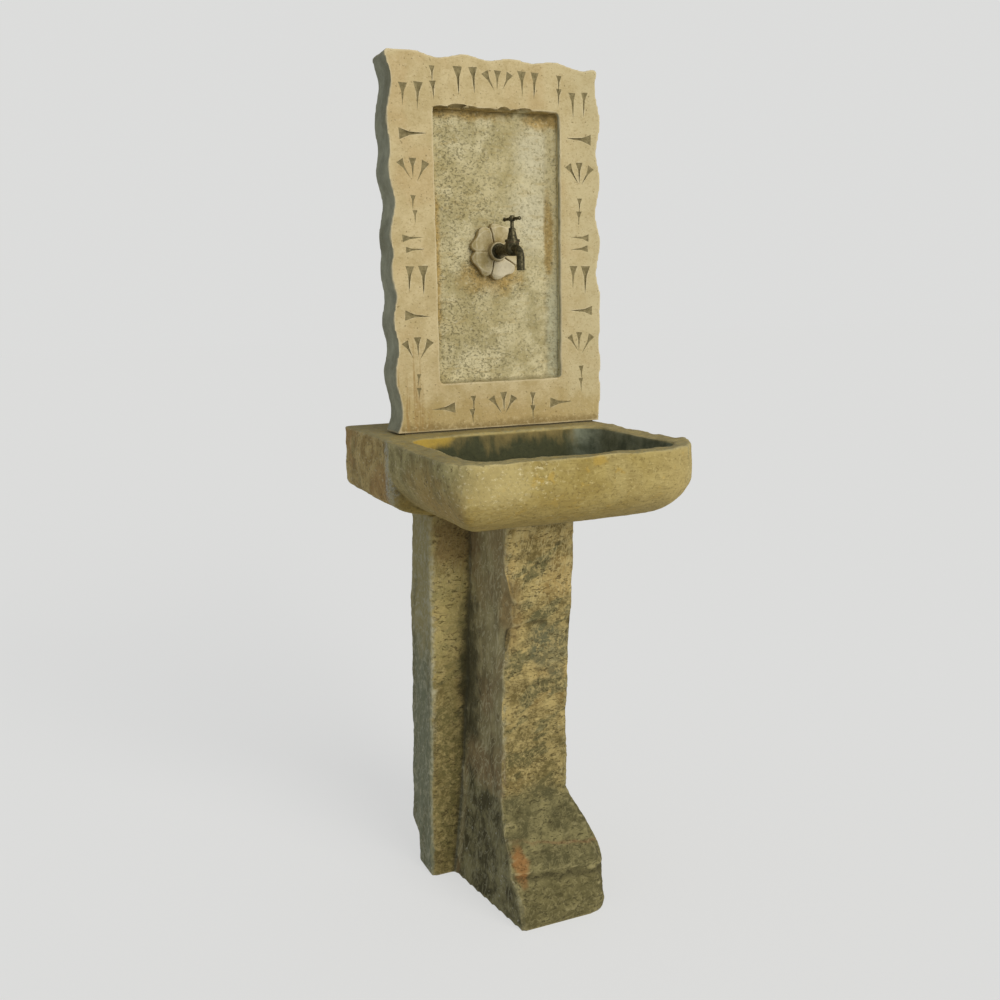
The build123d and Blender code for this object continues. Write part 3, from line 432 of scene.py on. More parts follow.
# The front is ochre, with green-black patches that slant, pale chisel lines and dark marks of the point
slab_front = step(y, 0.03, 0.05)
slab_top = step(uneven(z, patches, 0.3), 0.42, 0.58)
damp = below(uneven(z, patches, 0.3), 0.32, 0.52) * step(runs, 0.44, 0.58)
shelf_moss = spot(place, (0.03, -0.13, 0.545), (0.06, 0.06, 0.05), patches)
ochre = coated(
    tint(step(patches, 0.36, 0.64), (0.14, 0.105, 0.033), (0.46, 0.355, 0.138)),
    ("brown beds", step(broad, 0.5, 0.62), 0.35, (0.33, 0.2, 0.06)),
    ("slanting algae", step(slant, 0.52, 0.59), 0.85, (0.12, 0.112, 0.048)),
    ("moss under the shelf", shelf_moss, 0.7, (0.13, 0.13, 0.07)),
    ("damp lower part", below(uneven(z, patches, 0.25), 0.28, 0.45), 0.6, (0.12, 0.098, 0.032)),
    ("runs on the slab", slab_front * step(runs, 0.4, 0.6), 0.6, (0.38, 0.31, 0.11)),
    ("dry top of the slab", slab_front * slab_top, 0.4, (0.5, 0.42, 0.165)),
    ("damp runs on the slab", slab_front * damp, 0.6, (0.11, 0.098, 0.032)),
    ("crumbs", step(fine, 0.46, 0.7), 0.7, (0.54, 0.43, 0.18)),
    ("curls", curls, 0.4, (0.46, 0.36, 0.15)),
    ("chisel lines", hatch, 0.45, (0.55, 0.46, 0.22)),
    ("marks of the point", pecks, 0.7, (0.07, 0.05, 0.016)),
)
# The left side is greyer: brown patches and pale hair lines on the pier, smooth and green-grey on the slab
grey = coated(
    tint(step(patches, 0.32, 0.68), (0.24, 0.2, 0.1), (0.44, 0.385, 0.2)),
    ("brown patches", step(broad, 0.48, 0.6), 0.6, (0.31, 0.21, 0.1)),
    ("dark runs", step(runs, 0.54, 0.66), 0.65, (0.12, 0.095, 0.042)),
    ("dry upper part", step(uneven(z, patches, 0.2), 0.4, 0.55), 0.3, (0.47, 0.41, 0.21)),
    ("hair lines", hairs, 0.55, (0.66, 0.6, 0.37)),
)
slab = coated(
    tint(step(uneven(z, patches, 0.3), 0.42, 0.6), (0.25, 0.26, 0.165), (0.41, 0.355, 0.17)),
    ("dark runs", step(runs, 0.52, 0.66), 0.55, (0.18, 0.16, 0.08)),
    ("crumbs", step(fine, 0.5, 0.66), 0.6, (0.5, 0.465, 0.29)),
    ("pale blotches", step(cloud(place, 0.024, 4, 0.65), 0.53, 0.64), 0.5, (0.54, 0.515, 0.35)),
    ("hair lines", hairs, 0.4, (0.62, 0.6, 0.44)),
)
grey = tint(step(y, 0.04, 0.055), grey, slab)
colour = tint(side, ochre, grey)
# The foot is olive and damp, darkest on its left flank and under its ledge, where the dark band is painted
# shade
ledge_shade = between(uneven(z + x * ledge_slope, patches, 0.02), 0.086, 0.098, 0.006)
foot = coated(
    tint(step(patches, 0.35, 0.65), (0.092, 0.082, 0.033), (0.255, 0.222, 0.095)),
    ("damp at the ground", below(uneven(z, patches, 0.06), 0.07, 0.11), 0.4, (0.1, 0.082, 0.026)),
    ("crumbs", step(fine, 0.54, 0.68), 0.5, (0.31, 0.27, 0.12)),
    ("curls", curls, 0.35, (0.3, 0.26, 0.12)),
    ("marks of the point", pecks, 0.6, (0.045, 0.04, 0.015)),
    ("painted shade under the ledge", ledge_shade, 0.6, (0.05, 0.042, 0.016)),
)
shady = coated(
    tint(step(patches, 0.36, 0.64), (0.085, 0.075, 0.034), (0.32, 0.29, 0.145)),
    ("hair lines", hairs, 0.4, (0.5, 0.47, 0.3)),
    ("pale specks", step(cloud(place, 0.009, 2), 0.66, 0.72), 0.7, (0.6, 0.58, 0.46)),
)
foot = tint(side, foot, shady)
colour = tint(below(uneven(z, patches, 0.12), 0.22, 0.27) * step(0.04 - y, 0.0, 0.02), colour, foot)
# Single marks and stains, then the tone of the stone's shape: darker in the hollows as dirt and painted
# shade, paler on proud edges as wear and painted highlight
# A dark band runs down the inner corner between the slab and the pier
inner_corner = spot(place, (-0.085, 0.05, 0.4), (0.026, 0.06, 0.22), patches)
under_basin = spot(place, (-0.11, 0.05, 0.76), (0.05, 0.06, 0.07), patches)
scooped = spot(place, (-0.062, -0.118, 0.625), (0.022, 0.03, 0.075), patches)
terracotta = spot(place, (-0.087, -0.21, 0.13), (0.018, 0.04, 0.042), patches) * front
vein = between(uneven(z + x * 0.16, patches, 0.03), 0.148, 0.152, 0.003) * step(-0.16 - y, 0.0, 0.02)
slab_edge = spot(place, (-0.181, 0.052, 0.6), (0.016, 0.016, 0.24), patches) * step(fine, 0.42, 0.6)
colour = coated(
    colour,
    ("dark band in the inner corner", inner_corner, 0.75, (0.045, 0.045, 0.02)),
    ("brown under the basin", under_basin, 0.5, (0.17, 0.09, 0.03)),
    ("brown in the scoop", scooped, 0.6, tint(fine, (0.12, 0.075, 0.025), (0.34, 0.235, 0.09))),
    ("terracotta stain", terracotta, 0.85, tint(fine, (0.23, 0.115, 0.033), (0.42, 0.205, 0.068))),
    ("red vein", vein, 0.5, (0.28, 0.14, 0.06)),
    ("worn edge of the slab", slab_edge, 0.8, (0.5, 0.47, 0.32)),
    ("dirt", below(tone, 0.3, 0.45), 0.6, (0.055, 0.045, 0.018)),
    ("wear", step(tone, 0.56, 0.76), 0.4, (0.5, 0.43, 0.22)),
)
relief = patches * 0.4 + fine * 0.5 + grit * 0.15 + curls * 0.08 - pecks * front * 0.35
finished(pedestal_stone, colour, roughness=0.8 + fine * 0.18, height=relief, depth=0.004)
pedestal.data.materials.clear()
pedestal.data.materials.append(pedestal_stone)
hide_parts("pedestal")
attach(pedestal, "fountain")


# Basin bed and dowels: lime mortar under the basin, and two steel pins that key it to the pedestal.
# Only the edge of the mortar shows, as a dark joint.
def laid(material, *nodes):
    """Gives CAD solids their finish."""
    for node in nodes:
        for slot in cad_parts[node].material_slots:
            slot.material = material


def metal(name, dark, light, low, high, metallic=1.0):
    """A metal with a mottled skin, its roughness from low where it is light to high where it is dark."""
    mottle = 0.006
    material, place = started(name)
    skin = cloud(place, mottle, 5, 0.65)
    specks = cloud(place, mottle / 6, 3)
    colour = tint(step(skin, 0.35, 0.68), dark, light)
    roughness = high - step(skin, 0.35, 0.7) * (high - low)
    return finished(material, colour, roughness, skin + specks * 0.4, 0.0002, metallic)


mortar, place = started("mortar")
crumbs = cloud(place, 0.004, 5, 0.7)
colour = tint(crumbs, (0.06, 0.05, 0.028), (0.2, 0.17, 0.1))
finished(mortar, colour, roughness=0.85 + crumbs * 0.1, height=crumbs, depth=0.002)
steel = metal("pin_steel", (0.4, 0.4, 0.4), (0.62, 0.62, 0.61), 0.3, 0.5)
laid(mortar, "basin_bed")
laid(steel, "basin_dowels")


# Basin: a block of the same limestone, with a rounded bowl in front and a plain tail behind.
# Rubbed smooth outside and worn at the rim; the hollow is dark with algae and holds the water.
def struck_off(obj, tools):
    """Takes the shapes of the tools out of the stone."""
    bpy.ops.object.select_all(action="DESELECT")
    for tool in tools:
        tool.select_set(True)
    bpy.context.view_layer.objects.active = tools[0]
    bpy.ops.object.join()
    worked(obj, "BOOLEAN", object=tools[0], operation="DIFFERENCE", solver="MANIFOLD")
    bpy.data.objects.remove(tools[0])


def chipped(obj, seed, flakes):
    """Knocks flakes off the stone, each a rough shard given by its centre and half sizes."""
    shards = []
    for centre, size in flakes:
        bpy.ops.object.select_all(action="DESELECT")
        bpy.ops.mesh.primitive_ico_sphere_add(subdivisions=2, radius=1)
        shard = bpy.context.object
        bpy.ops.object.mode_set(mode="EDIT")
        bpy.ops.mesh.select_all(action="SELECT")
        bpy.ops.transform.vertex_random(offset=0.16, seed=seed + len(shards))
        bpy.ops.object.mode_set(mode="OBJECT")
        shard.data.transform(Matrix.Translation(centre) @ Matrix.Diagonal((*size, 1)))
        shards.append(shard)
    struck_off(obj, shards)


basin_voxel = 0.0042
basin_foot, band_foot = 0.812, 0.965
flake_count, flake_pitch = 18, 0.0125
rim_left, rim_front, rim_top = -0.235, -0.354, 0.979


def under_band(co):
    """1 below the plain band round the rim."""
    return ease(band_foot - co.z, 0.0, 0.03)


def skin(co, normal):
    """All of the basin but its bed and the top of the tail, where the panel stands."""
    return ease(co.z, basin_foot, 0.83) * (1 - ease(co.z, 0.97, 0.975) * ease(co.y, 0.06, 0.1))


def tail(co, normal):
    """Sides of the tail, between its bed and its top."""
    return ease(co.z, basin_foot, 0.84) * ease(0.972 - co.z, 0.0, 0.01) * ease(co.y, 0.02, 0.05)


basin = quarried("basin", "basin_stone")
worked(basin, "REMESH", mode="VOXEL", voxel_size=basin_voxel)
# The belly, its left front corner and the tail's edges are rubbed round, each more or less
for name, rounds, rule in (
    ("belly", 12, lambda co, normal: ease(0.02 - co.y, 0.0, 0.05) * under_band(co)),
    ("corner", 60, lambda co, normal: ease(-co.x, 0.06, 0.13) * ease(-co.y, 0.12, 0.2) * under_band(co)),
    ("rear", 16, lambda co, normal: ease(co.y, 0.02, 0.06)),
):
    area(basin, name, rule)
    worked(basin, "SMOOTH", factor=0.5, iterations=rounds, vertex_group=name)
worked(basin, "SMOOTH", factor=0.5, iterations=4)
area(basin, "rim", lambda co, normal: ease(co.z, 0.945, 0.97) * ease(0.05 - co.y, 0.0, 0.02))
area(basin, "skin", skin)
area(basin, "tail", tail)
roughened(basin, size=0.16, depth=0.006, within="skin", noise_depth=1)
roughened(basin, size=0.045, depth=0.0026, within="skin", noise_depth=3)
roughened(basin, size=0.05, depth=0.006, within="tail", noise_depth=3, noise_type="HARD_NOISE")
roughened(basin, size=0.06, depth=0.009, within="rim", noise_depth=2, middle=0.75, direction="Z")
roughened(basin, size=0.011, depth=0.0011, within="skin", noise_depth=2)
# Chips along the left half of the rim's front, which bends back at the corner
chance = random.Random(7)
flakes = []
for index in range(flake_count):
    across = rim_left + flake_pitch * index + chance.uniform(-0.005, 0.005)
    back = rim_front + 0.05 * ease(-across, 0.19, 0.25) ** 2
    size = (chance.uniform(0.009, 0.018), chance.uniform(0.009, 0.013), chance.uniform(0.006, 0.011))
    flakes.append(((across, back, rim_top + chance.uniform(0.0, 0.003)), size))
chipped(basin, 40, flakes)
shade_and_wear_painted(basin)

basin_stone, place = started("rubbed_limestone")
x, y, z = [along(place, axis) for axis in "XYZ"]
tone = dirt_shade_and_wear(place)
broad = cloud(place, 0.13, 3, 0.5)
patches = cloud(place, 0.045, 6, 0.62)
fine = cloud(place, 0.01, 5, 0.68)
grit = cloud(place, 0.003, 3, 0.6)
grain = cloud(drawn(place, 0.1, 0.1, 1.2), 0.006, 4, 0.6)
runs = cloud(drawn(place, 1, 1, 0.35), 0.035, 5, 0.6)
pits = step(cloud(place, 0.0065, 4, 0.65), 0.54, 0.68)
crumbs = step(cloud(drawn(place, 1.1, 0.9, 1.3), 0.009, 4, 0.65), 0.55, 0.7)
scores = lines(drawn(place, 0.2, 0.2, 1, (0, 0.08, 0)), 0.011, 0.04)
side = step(facing(place, "X") * -1, 0.35, 0.85)
# The front is golden, warmer below and paler to the right
low = below(uneven(z, patches, 0.08), 0.86, 0.93)
golden = coated(
    tint(step(patches, 0.32, 0.68), (0.33, 0.245, 0.068), (0.49, 0.385, 0.135)),
    ("grey beds", step(broad, 0.5, 0.64), 0.4, (0.41, 0.33, 0.14)),
    ("yellow patches", step(cloud(place, 0.03, 3), 0.58, 0.68), 0.5, (0.5, 0.32, 0.05)),
    ("dark grain on the belly", step(grain, 0.52, 0.66) * low, 0.5, (0.2, 0.135, 0.04)),
    ("warm belly", low, 0.45, (0.53, 0.385, 0.12)),
    ("pale right end", step(x, 0.05, 0.2), 0.45, (0.56, 0.45, 0.2)),
    ("pits", pits, 0.55, (0.2, 0.14, 0.04)),
    ("crumbs", crumbs, 0.6, (0.66, 0.54, 0.23)),
    ("score lines", scores, 0.28, (0.22, 0.155, 0.05)),
)
# The left side is greyer, and the tail red-brown
rust_spot = spot(place, (-0.24, -0.2, 0.9), (0.06, 0.12, 0.06), patches)
grey = coated(
    tint(step(patches, 0.36, 0.64), (0.29, 0.245, 0.1), (0.55, 0.475, 0.215)),
    ("brown lower part", below(uneven(z, broad, 0.16), 0.87, 0.93), 0.7, (0.41, 0.3, 0.105)),
    ("rust spot", rust_spot, 0.5, (0.52, 0.35, 0.115)),
)
rear = coated(
    tint(step(patches, 0.38, 0.62), (0.37, 0.25, 0.085), (0.64, 0.49, 0.205)),
    ("red beds", step(broad, 0.5, 0.62), 0.4, (0.5, 0.29, 0.11)),
)
grey = coated(
    tint(step(y, 0.03, 0.045), grey, rear),
    ("dark runs", step(runs, 0.52, 0.64), 0.45, (0.24, 0.2, 0.085)),
    ("pits", pits, 0.85, (0.17, 0.12, 0.045)),
    ("crumbs", crumbs, 0.8, (0.7, 0.61, 0.36)),
)
# Single marks: the edge where tail and bowl meet, knocks near the left front corner, a drip and the rim's top
tail_edge = spot(place, (-0.263, 0.04, 0.9), (0.022, 0.018, 0.1), patches)
rubbed = spot(place, (-0.19, -0.34, 0.94), (0.07, 0.06, 0.05), fine)
knocks = spot(place, (-0.17, -0.35, 0.945), (0.1, 0.06, 0.045), patches) * crumbs
drip = spot(place, (0.013, -0.345, 0.964), (0.016, 0.04, 0.009), fine)
top = between(z, 0.967, 0.99, 0.004) * step(facing(place, "Z"), 0.4, 0.8)
colour = coated(
    tint(side, golden, grey),
    ("pale edge of the tail", tail_edge * step(fine, 0.36, 0.6), 0.85, (0.58, 0.56, 0.43)),
    ("dirt on that edge", tail_edge * step(grit, 0.52, 0.62), 0.5, (0.16, 0.14, 0.075)),
    ("rubbed corner", rubbed, 0.45, (0.58, 0.48, 0.22)),
    ("knocks", knocks, 0.6, (0.76, 0.67, 0.4)),
    ("yellow drip", drip, 0.6, (0.5, 0.33, 0.06)),
    ("dark top of the rim", top * step(fine, 0.3, 0.62), 0.7, (0.3, 0.27, 0.15)),
)
# The hollow: an ochre band under the rim, green-black runs below it and a grey right wall
hollow = between(x, -0.22, 0.221, 0.003) * between(y, -0.318, 0.056, 0.003) * between(z, 0.866, 0.97, 0.002)
hollow = hollow * step(facing(place, "Z"), -0.35, -0.1)
slime = tint(fine, (0.028, 0.032, 0.014), (0.095, 0.095, 0.042))
ochre = tint(patches, (0.16, 0.12, 0.04), (0.33, 0.25, 0.09))
cool = tint(step(patches, 0.34, 0.66), (0.12, 0.135, 0.085), (0.27, 0.29, 0.2))
crust = spot(place, (-0.175, 0.05, 0.968), (0.06, 0.04, 0.02), patches)
wet = tint(step(uneven(z, runs, 0.14), 0.935, 0.985), slime, ochre)
wet = coated(
    tint(step(uneven(x, patches, 0.04), 0.14, 0.19), wet, cool),
    ("yellow crust", crust, 0.9, (0.5, 0.34, 0.06)),
)
colour = coated(
    tint(hollow, colour, wet),
    # Darker in the hollows as dirt and painted shade, paler on proud edges as wear and painted highlight
    ("dirt", below(tone, 0.3, 0.45), 0.5, (0.09, 0.07, 0.028)),
    ("wear", step(tone, 0.58, 0.8), 0.35, (0.6, 0.52, 0.27)),
)
relief = patches * 0.35 + fine * 0.5 + grit * 0.14 + crumbs * 0.1 - pits * 0.15
finished(basin_stone, colour, roughness=0.74 + fine * 0.22, height=relief, depth=0.0028)
basin.data.materials.clear()
basin.data.materials.append(basin_stone)
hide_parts("basin")
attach(basin, "fountain")


# Panel bed and dowels: a thin joint of the same mortar on top of the tail, where the panel stands.
# Two steel pins in it key the foot of the panel to the basin; they don't show.
laid(mortar, "panel_bed")
laid(steel, "panel_dowels")


# Back panel: an upright limestone slab with scalloped edges, a border rubbed smooth and a sunk, pecked field.
# It stands on its bed and its two pins. The flower is cleared away here and carved as its own piece below.
# The border carries a repeating ornament of wedge notches, each struck with a three-cornered punch.
panel_voxel = 0.0036
panel_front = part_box("back_panel")[0].y
panel_middle = 0.025
field_floor = panel_front + 0.03
field_low = Vector((-0.116, field_floor, 1.077))
field_high = Vector((0.166, field_floor, 1.632))
tap_axis = Vector((panel_middle, field_floor, 1.349))
flower_reach = 0.064


def round_cutter(sides, depth, clear):
    """A cylinder round the tap's axis, as wide as the flower, that ends clear of the field's floor."""
    bpy.ops.object.select_all(action="DESELECT")
    bpy.ops.mesh.primitive_cylinder_add(
        vertices=sides, radius=flower_reach, depth=depth,
        location=tap_axis - Vector((0, depth / 2 + clear, 0)), rotation=(math.pi / 2, 0, 0),
    )
    return bpy.context.object


def in_field(co):
    """Whether a point lies within the sunk field, seen from the front."""
    return (field_low.x < co.x < field_high.x) and (field_low.z < co.z < field_high.z)


def right_wall(co, normal):
    """Along the right wall of the field, which runs out into the floor in a hollow curve."""
    rise = ease(co.x, field_high.x - 0.024, field_high.x + 0.001)
    rise = rise * ease(co.y, field_floor - 0.02, field_floor)
    inside = float(co.x < field_high.x + 0.003 and co.y < field_floor + 0.006)
    beside = float(field_low.z - 0.003 < co.z < field_high.z + 0.003)
    return rise * inside * beside


panel = quarried("back_panel", "panel_stone")
clearing = round_cutter(sides=64, depth=0.06, clear=0.0003)
worked(panel, "BOOLEAN", object=clearing, operation="DIFFERENCE", solver="EXACT")
bpy.data.objects.remove(clearing)
worked(panel, "REMESH", mode="VOXEL", voxel_size=panel_voxel)
worked(panel, "SMOOTH", factor=0.5, iterations=2)
# The upper left corner stands out a little
pushed(panel, "X", -0.004, lambda co, normal: ease(co.z, 1.68, 1.715) * ease(-co.x, 0.16, 0.2))
pushed(panel, "Y", -0.013, right_wall)
area(panel, "field", lambda co, normal: float(in_field(co) and abs(co.y - field_floor) < 0.006))
area(
    panel, "edges",
    lambda co, normal: (1 - abs(normal.y)) * ease(co.z, 0.985, 1.0) * float(not in_field(co)),
)
area(panel, "face", lambda co, normal: ease(-normal.y, 0.3, 0.8))
roughened(panel, size=0.11, depth=0.003, within="face", noise_depth=1)
roughened(panel, size=0.03, depth=0.0012, within="face", noise_depth=3)
roughened(panel, size=0.035, depth=0.005, within="edges", noise_depth=3)
roughened(panel, size=0.016, depth=0.003, within="field", noise_depth=3, noise_type="HARD_NOISE")
roughened(panel, size=0.008, depth=0.0013, within="field", noise_depth=1)

# One wedge: a five-sided point, its rim drawn out into a head and a tail, then carried up clear of the face
wedge_length, wedge_head, wedge_shoulder, wedge_neck = 0.055, 0.0104, 0.02, 0.003
wedge_depth, wedge_clear = 0.004, 0.006
bpy.ops.object.select_all(action="DESELECT")
bpy.ops.mesh.primitive_cone_add(vertices=5, radius1=0.01, radius2=0, depth=0.01)
wedge = bpy.context.object
wedge.name = "wedge"
rim = [
    (-wedge_head, 0, 0), (-wedge_neck, -wedge_shoulder, 0), (0, -wedge_length, 0),
    (wedge_neck, -wedge_shoulder, 0), (wedge_head, 0, 0),
]
for vertex in wedge.data.vertices:
    vertex.co = rim.pop(0) if vertex.co.z < 0 else (0, -wedge_shoulder * 0.4, -wedge_depth)
bpy.ops.object.mode_set(mode="EDIT")
bpy.ops.mesh.select_all(action="DESELECT")
bpy.ops.mesh.select_mode(type="FACE")
bpy.ops.object.mode_set(mode="OBJECT")
for face in wedge.data.polygons:
    face.select = len(face.vertices) == 5
bpy.ops.object.mode_set(mode="EDIT")
bpy.ops.mesh.extrude_region_move(TRANSFORM_OT_translate={"value": (0, 0, wedge_clear)})
bpy.ops.mesh.select_all(action="SELECT")
bpy.ops.mesh.normals_make_consistent(inside=False)
bpy.ops.object.mode_set(mode="OBJECT")

# The ornament: upright pairs, single and paired lying notches, fans and stacks, mirrored left to right
chance = random.Random(4)
struck = []


def strike(x, z, angle, size=1.0):
    """One notch with its head at x, z on the border; angle 0 has the tail downwards."""
    notch = wedge.copy()
    notch.data = wedge.data.copy()
    scene.collection.objects.link(notch)
    tilt = math.radians(angle + chance.uniform(-4, 4))
    spread = size * chance.uniform(0.92, 1.08)
    place = Vector((x + chance.uniform(-0.002, 0.002), panel_front, z + chance.uniform(-0.002, 0.002)))
    upright = Matrix.Rotation(math.pi / 2, 4, "X") @ Matrix.Rotation(tilt, 4, "Z")
    notch.data.transform(Matrix.Translation(place) @ upright @ Matrix.Scale(spread, 4))
    struck.append(notch)


def upright_pair(x, z, side):
    """Two notches side by side, tails down."""
    strike(x - 0.015, z + 0.026, 0)
    strike(x + 0.015, z + 0.026, 0)


def lying_pair(x, z, side):
    """Two lying notches, the lower one shorter, heads to the given side."""
    strike(x + side * 0.026, z + 0.011, -90 * side, 0.95)
    strike(x + side * 0.02, z - 0.012, -90 * side, 0.75)


def fan(x, z, side):
    """Three notches whose tails meet below."""
    for angle in (-30, 0, 30):
        lean = math.radians(angle)
        strike(x + 0.056 * math.sin(lean), z - 0.03 + 0.056 * math.cos(lean), -angle, 0.82)


def lone_lying(x, z, side):
    """One lying notch, its head to the given side."""
    strike(x + side * 0.028, z, -90 * side, 1.05)


def stacked(x, z, side):
    """Two small notches, one above the other."""
    strike(x, z + 0.024, 0, 0.62)
    strike(x, z - 0.004, 0, 0.62)


side_motifs = (upright_pair, lone_lying, fan, stacked, lying_pair)
top_motifs = (stacked, upright_pair, fan, upright_pair, stacked)
foot_motifs = (lone_lying, stacked, fan, stacked, lone_lying)
side_rows, row_pitch, top_row, side_offset = 9, 0.0715, 1.65, 0.188
motif_pitch, first_motif, top_line, foot_line = 0.07, -0.115, 1.684, 1.026
for index in range(side_rows):
    motif = side_motifs[index % len(side_motifs)]
    for side in (-1, 1):
        motif(panel_middle + side * side_offset, top_row - index * row_pitch, side)
for index, (upper, lower) in enumerate(zip(top_motifs, foot_motifs)):
    side = 1 if index < 2 else -1
    upper(first_motif + index * motif_pitch, top_line, side)
    lower(first_motif + index * motif_pitch, foot_line, side)
bpy.data.objects.remove(wedge)

panel_stone, place = started("panel_limestone")
x, y, z = [along(place, axis) for axis in "XYZ"]
tone = dirt_shade_and_wear(place)
broad = cloud(place, 0.13, 3, 0.5)
patches = cloud(place, 0.04, 6, 0.62)
fine = cloud(place, 0.008, 5, 0.7)
grit = cloud(place, 0.003, 3, 0.6)
streaks = cloud(drawn(place, 1, 1, 0.06), 0.01, 4, 0.6)
freckles = cloud(drawn(place, 0.8, 1, 1.2), 0.0046, 3, 0.65, 0.15)
pits = step(cloud(place, 0.0065, 1), 0.67, 0.74)
side = step(facing(place, "X") * -1, 0.4, 0.85)
# The border is cream, brown towards the foot; the left flank is grey
splash = below(uneven(uneven(z, patches, 0.03), fine, 0.03), 0.98, 1.0)
drips = spot(place, (-0.2, 0.104, 1.06), (0.05, 0.06, 0.11), patches)
border = coated(
    tint(step(patches, 0.3, 0.7), (0.51, 0.402, 0.196), (0.635, 0.52, 0.285)),
    ("warm beds", step(broad, 0.5, 0.64), 0.5, (0.53, 0.385, 0.18)),
    ("pale right side", step(uneven(x, patches, 0.2), 0.12, 0.26), 0.5, (0.56, 0.49, 0.28)),
    ("brown foot", below(uneven(z, patches, 0.1), 1.01, 1.08), 0.6, (0.43, 0.315, 0.115)),
    ("dark splash line", splash, 0.7, (0.2, 0.14, 0.05)),
    ("drips low on the left", step(streaks, 0.5, 0.64) * drips, 0.7, (0.35, 0.22, 0.07)),
    ("freckles", step(freckles, 0.5, 0.7), 0.45, (0.36, 0.26, 0.11)),
    ("crumbs", step(fine, 0.5, 0.72), 0.5, (0.68, 0.565, 0.335)),
    ("pits", pits, 0.6, (0.22, 0.155, 0.06)),
)
flank = coated(
    tint(step(patches, 0.3, 0.7), (0.3, 0.3, 0.21), (0.46, 0.46, 0.325)),
    ("dark beds", step(broad, 0.5, 0.62), 0.6, (0.22, 0.21, 0.13)),
    ("crumbs", step(fine, 0.5, 0.7), 0.35, (0.52, 0.53, 0.42)),
)
# The sunk field: grey cream, freckled by the pick, with pale slanting patches and rust-coloured stains
dense = step(cloud(place, 0.05, 3) - x * 1.1, 0.36, 0.6)
strokes = step(freckles, 0.52, 0.66) * (0.4 + dense * 0.6)
streaky = cloud(drawn(place, 0.3, 1, 1.2), 0.012, 4, 0.6)
specks = step(cloud(place, 0.0065, 3, 0.7), 0.52, 0.68)
pale = spot(place, (0.12, 0.134, 1.55), (0.04, 0.06, 0.06), patches, 0.6)
pale = pale.math("MAXIMUM", pale, spot(place, (0.115, 0.134, 1.42), (0.045, 0.06, 0.075), patches, 0.6))
stain = spot(place, (0.017, 0.134, 1.302), (0.066, 0.06, 0.038), patches)
for centre, reach in (
    ((0.151, 0.134, 1.38), (0.009, 0.06, 0.085)),
    ((0.14, 0.134, 1.622), (0.045, 0.06, 0.022)),
    ((-0.03, 0.134, 1.635), (0.1, 0.06, 0.02)),
    ((-0.112, 0.134, 1.33), (0.014, 0.06, 0.16)),
):
    stain = stain.math("MAXIMUM", stain, spot(place, centre, reach, patches))
rust = tint(step(fine, 0.3, 0.7), (0.32, 0.195, 0.045), (0.54, 0.36, 0.1))
# The field's right wall faces away from the lamp; its colour is painted light, much paler than the floor
# beside it to make up for its shade, greenish grey below and ochre above
wall = tint(step(uneven(z, patches, 0.2), 1.22, 1.36), (0.7, 0.69, 0.47), (0.7, 0.6, 0.32))
ground = coated(
    tint(step(patches, 0.34, 0.66), (0.42, 0.36, 0.18), (0.65, 0.575, 0.34)),
    ("brown beds", step(broad - x * 0.5, 0.46, 0.6), 0.4, (0.45, 0.37, 0.165)),
    ("pale patches", pale, 0.65, (0.66, 0.61, 0.42)),
)
ground = coated(
    tint(step(facing(place, "X") * -1, 0.1, 0.95), ground, wall),
    ("rust stains", stain, 0.75, rust),
    ("lying streaks", step(streaky, 0.54, 0.66), 0.35, (0.38, 0.28, 0.1)),
    ("strokes of the pick", strokes, 0.6, (0.15, 0.13, 0.058)),
    ("specks", specks, 0.6, (0.21, 0.175, 0.078)),
    ("crumbs", step(fine, 0.54, 0.7), 0.5, (0.68, 0.62, 0.42)),
)
sunk = between(x, field_low.x - 0.003, field_high.x + 0.003, 0.004)
sunk = sunk * between(z, field_low.z - 0.004, field_high.z + 0.004, 0.004)
sunk = sunk * between(y, panel_front + 0.008, panel_front + 0.05, 0.004)
colour = coated(
    tint(sunk, tint(side, border, flank), ground),
    # Darker in the hollows as dirt and painted shade, paler on proud edges as wear and painted highlight
    ("dirt", below(tone, 0.3, 0.45), 0.45, (0.15, 0.115, 0.046)),
    ("wear", step(tone, 0.6, 0.74), 0.5, (0.72, 0.62, 0.39)),
)
relief = patches * 0.3 + fine * 0.45 + grit * 0.16 - strokes * sunk * 0.35 - pits * 0.2
finished(panel_stone, colour, roughness=0.76 + fine * 0.2, height=relief, depth=0.0024)

notch_stone, place = started("notch_limestone")
dirt = cloud(place, 0.008, 5, 0.7)
colour = tint(step(dirt, 0.35, 0.7), (0.19, 0.155, 0.07), (0.34, 0.28, 0.14))
finished(notch_stone, colour, roughness=0.8 + dirt * 0.2, height=dirt, depth=0.0015)
for piece in (panel, *struck):
    piece.data.materials.clear()
    piece.data.materials.append(panel_stone)
    piece.data.materials.append(notch_stone)
for notch in struck:
    for face in notch.data.polygons:
        face.material_index = 1
struck_off(panel, struck)
# Chips along the upper lip of the field: where each is, then half its width and half its height
flakes = []
for across, width, height in (
    (-0.098, 0.02, 0.004), (-0.062, 0.026, 0.009), (-0.035, 0.018, 0.006), (0.006, 0.022, 0.004),
    (0.041, 0.015, 0.008), (0.066, 0.012, 0.004), (0.087, 0.02, 0.007), (0.128, 0.022, 0.003),
):
    flakes.append(((across, panel_front, field_high.z - 0.001), (width, 0.02, height)))
chipped(panel, 80, flakes)
shade_and_wear_painted(panel)
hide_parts("back_panel")
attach(panel, "fountain")


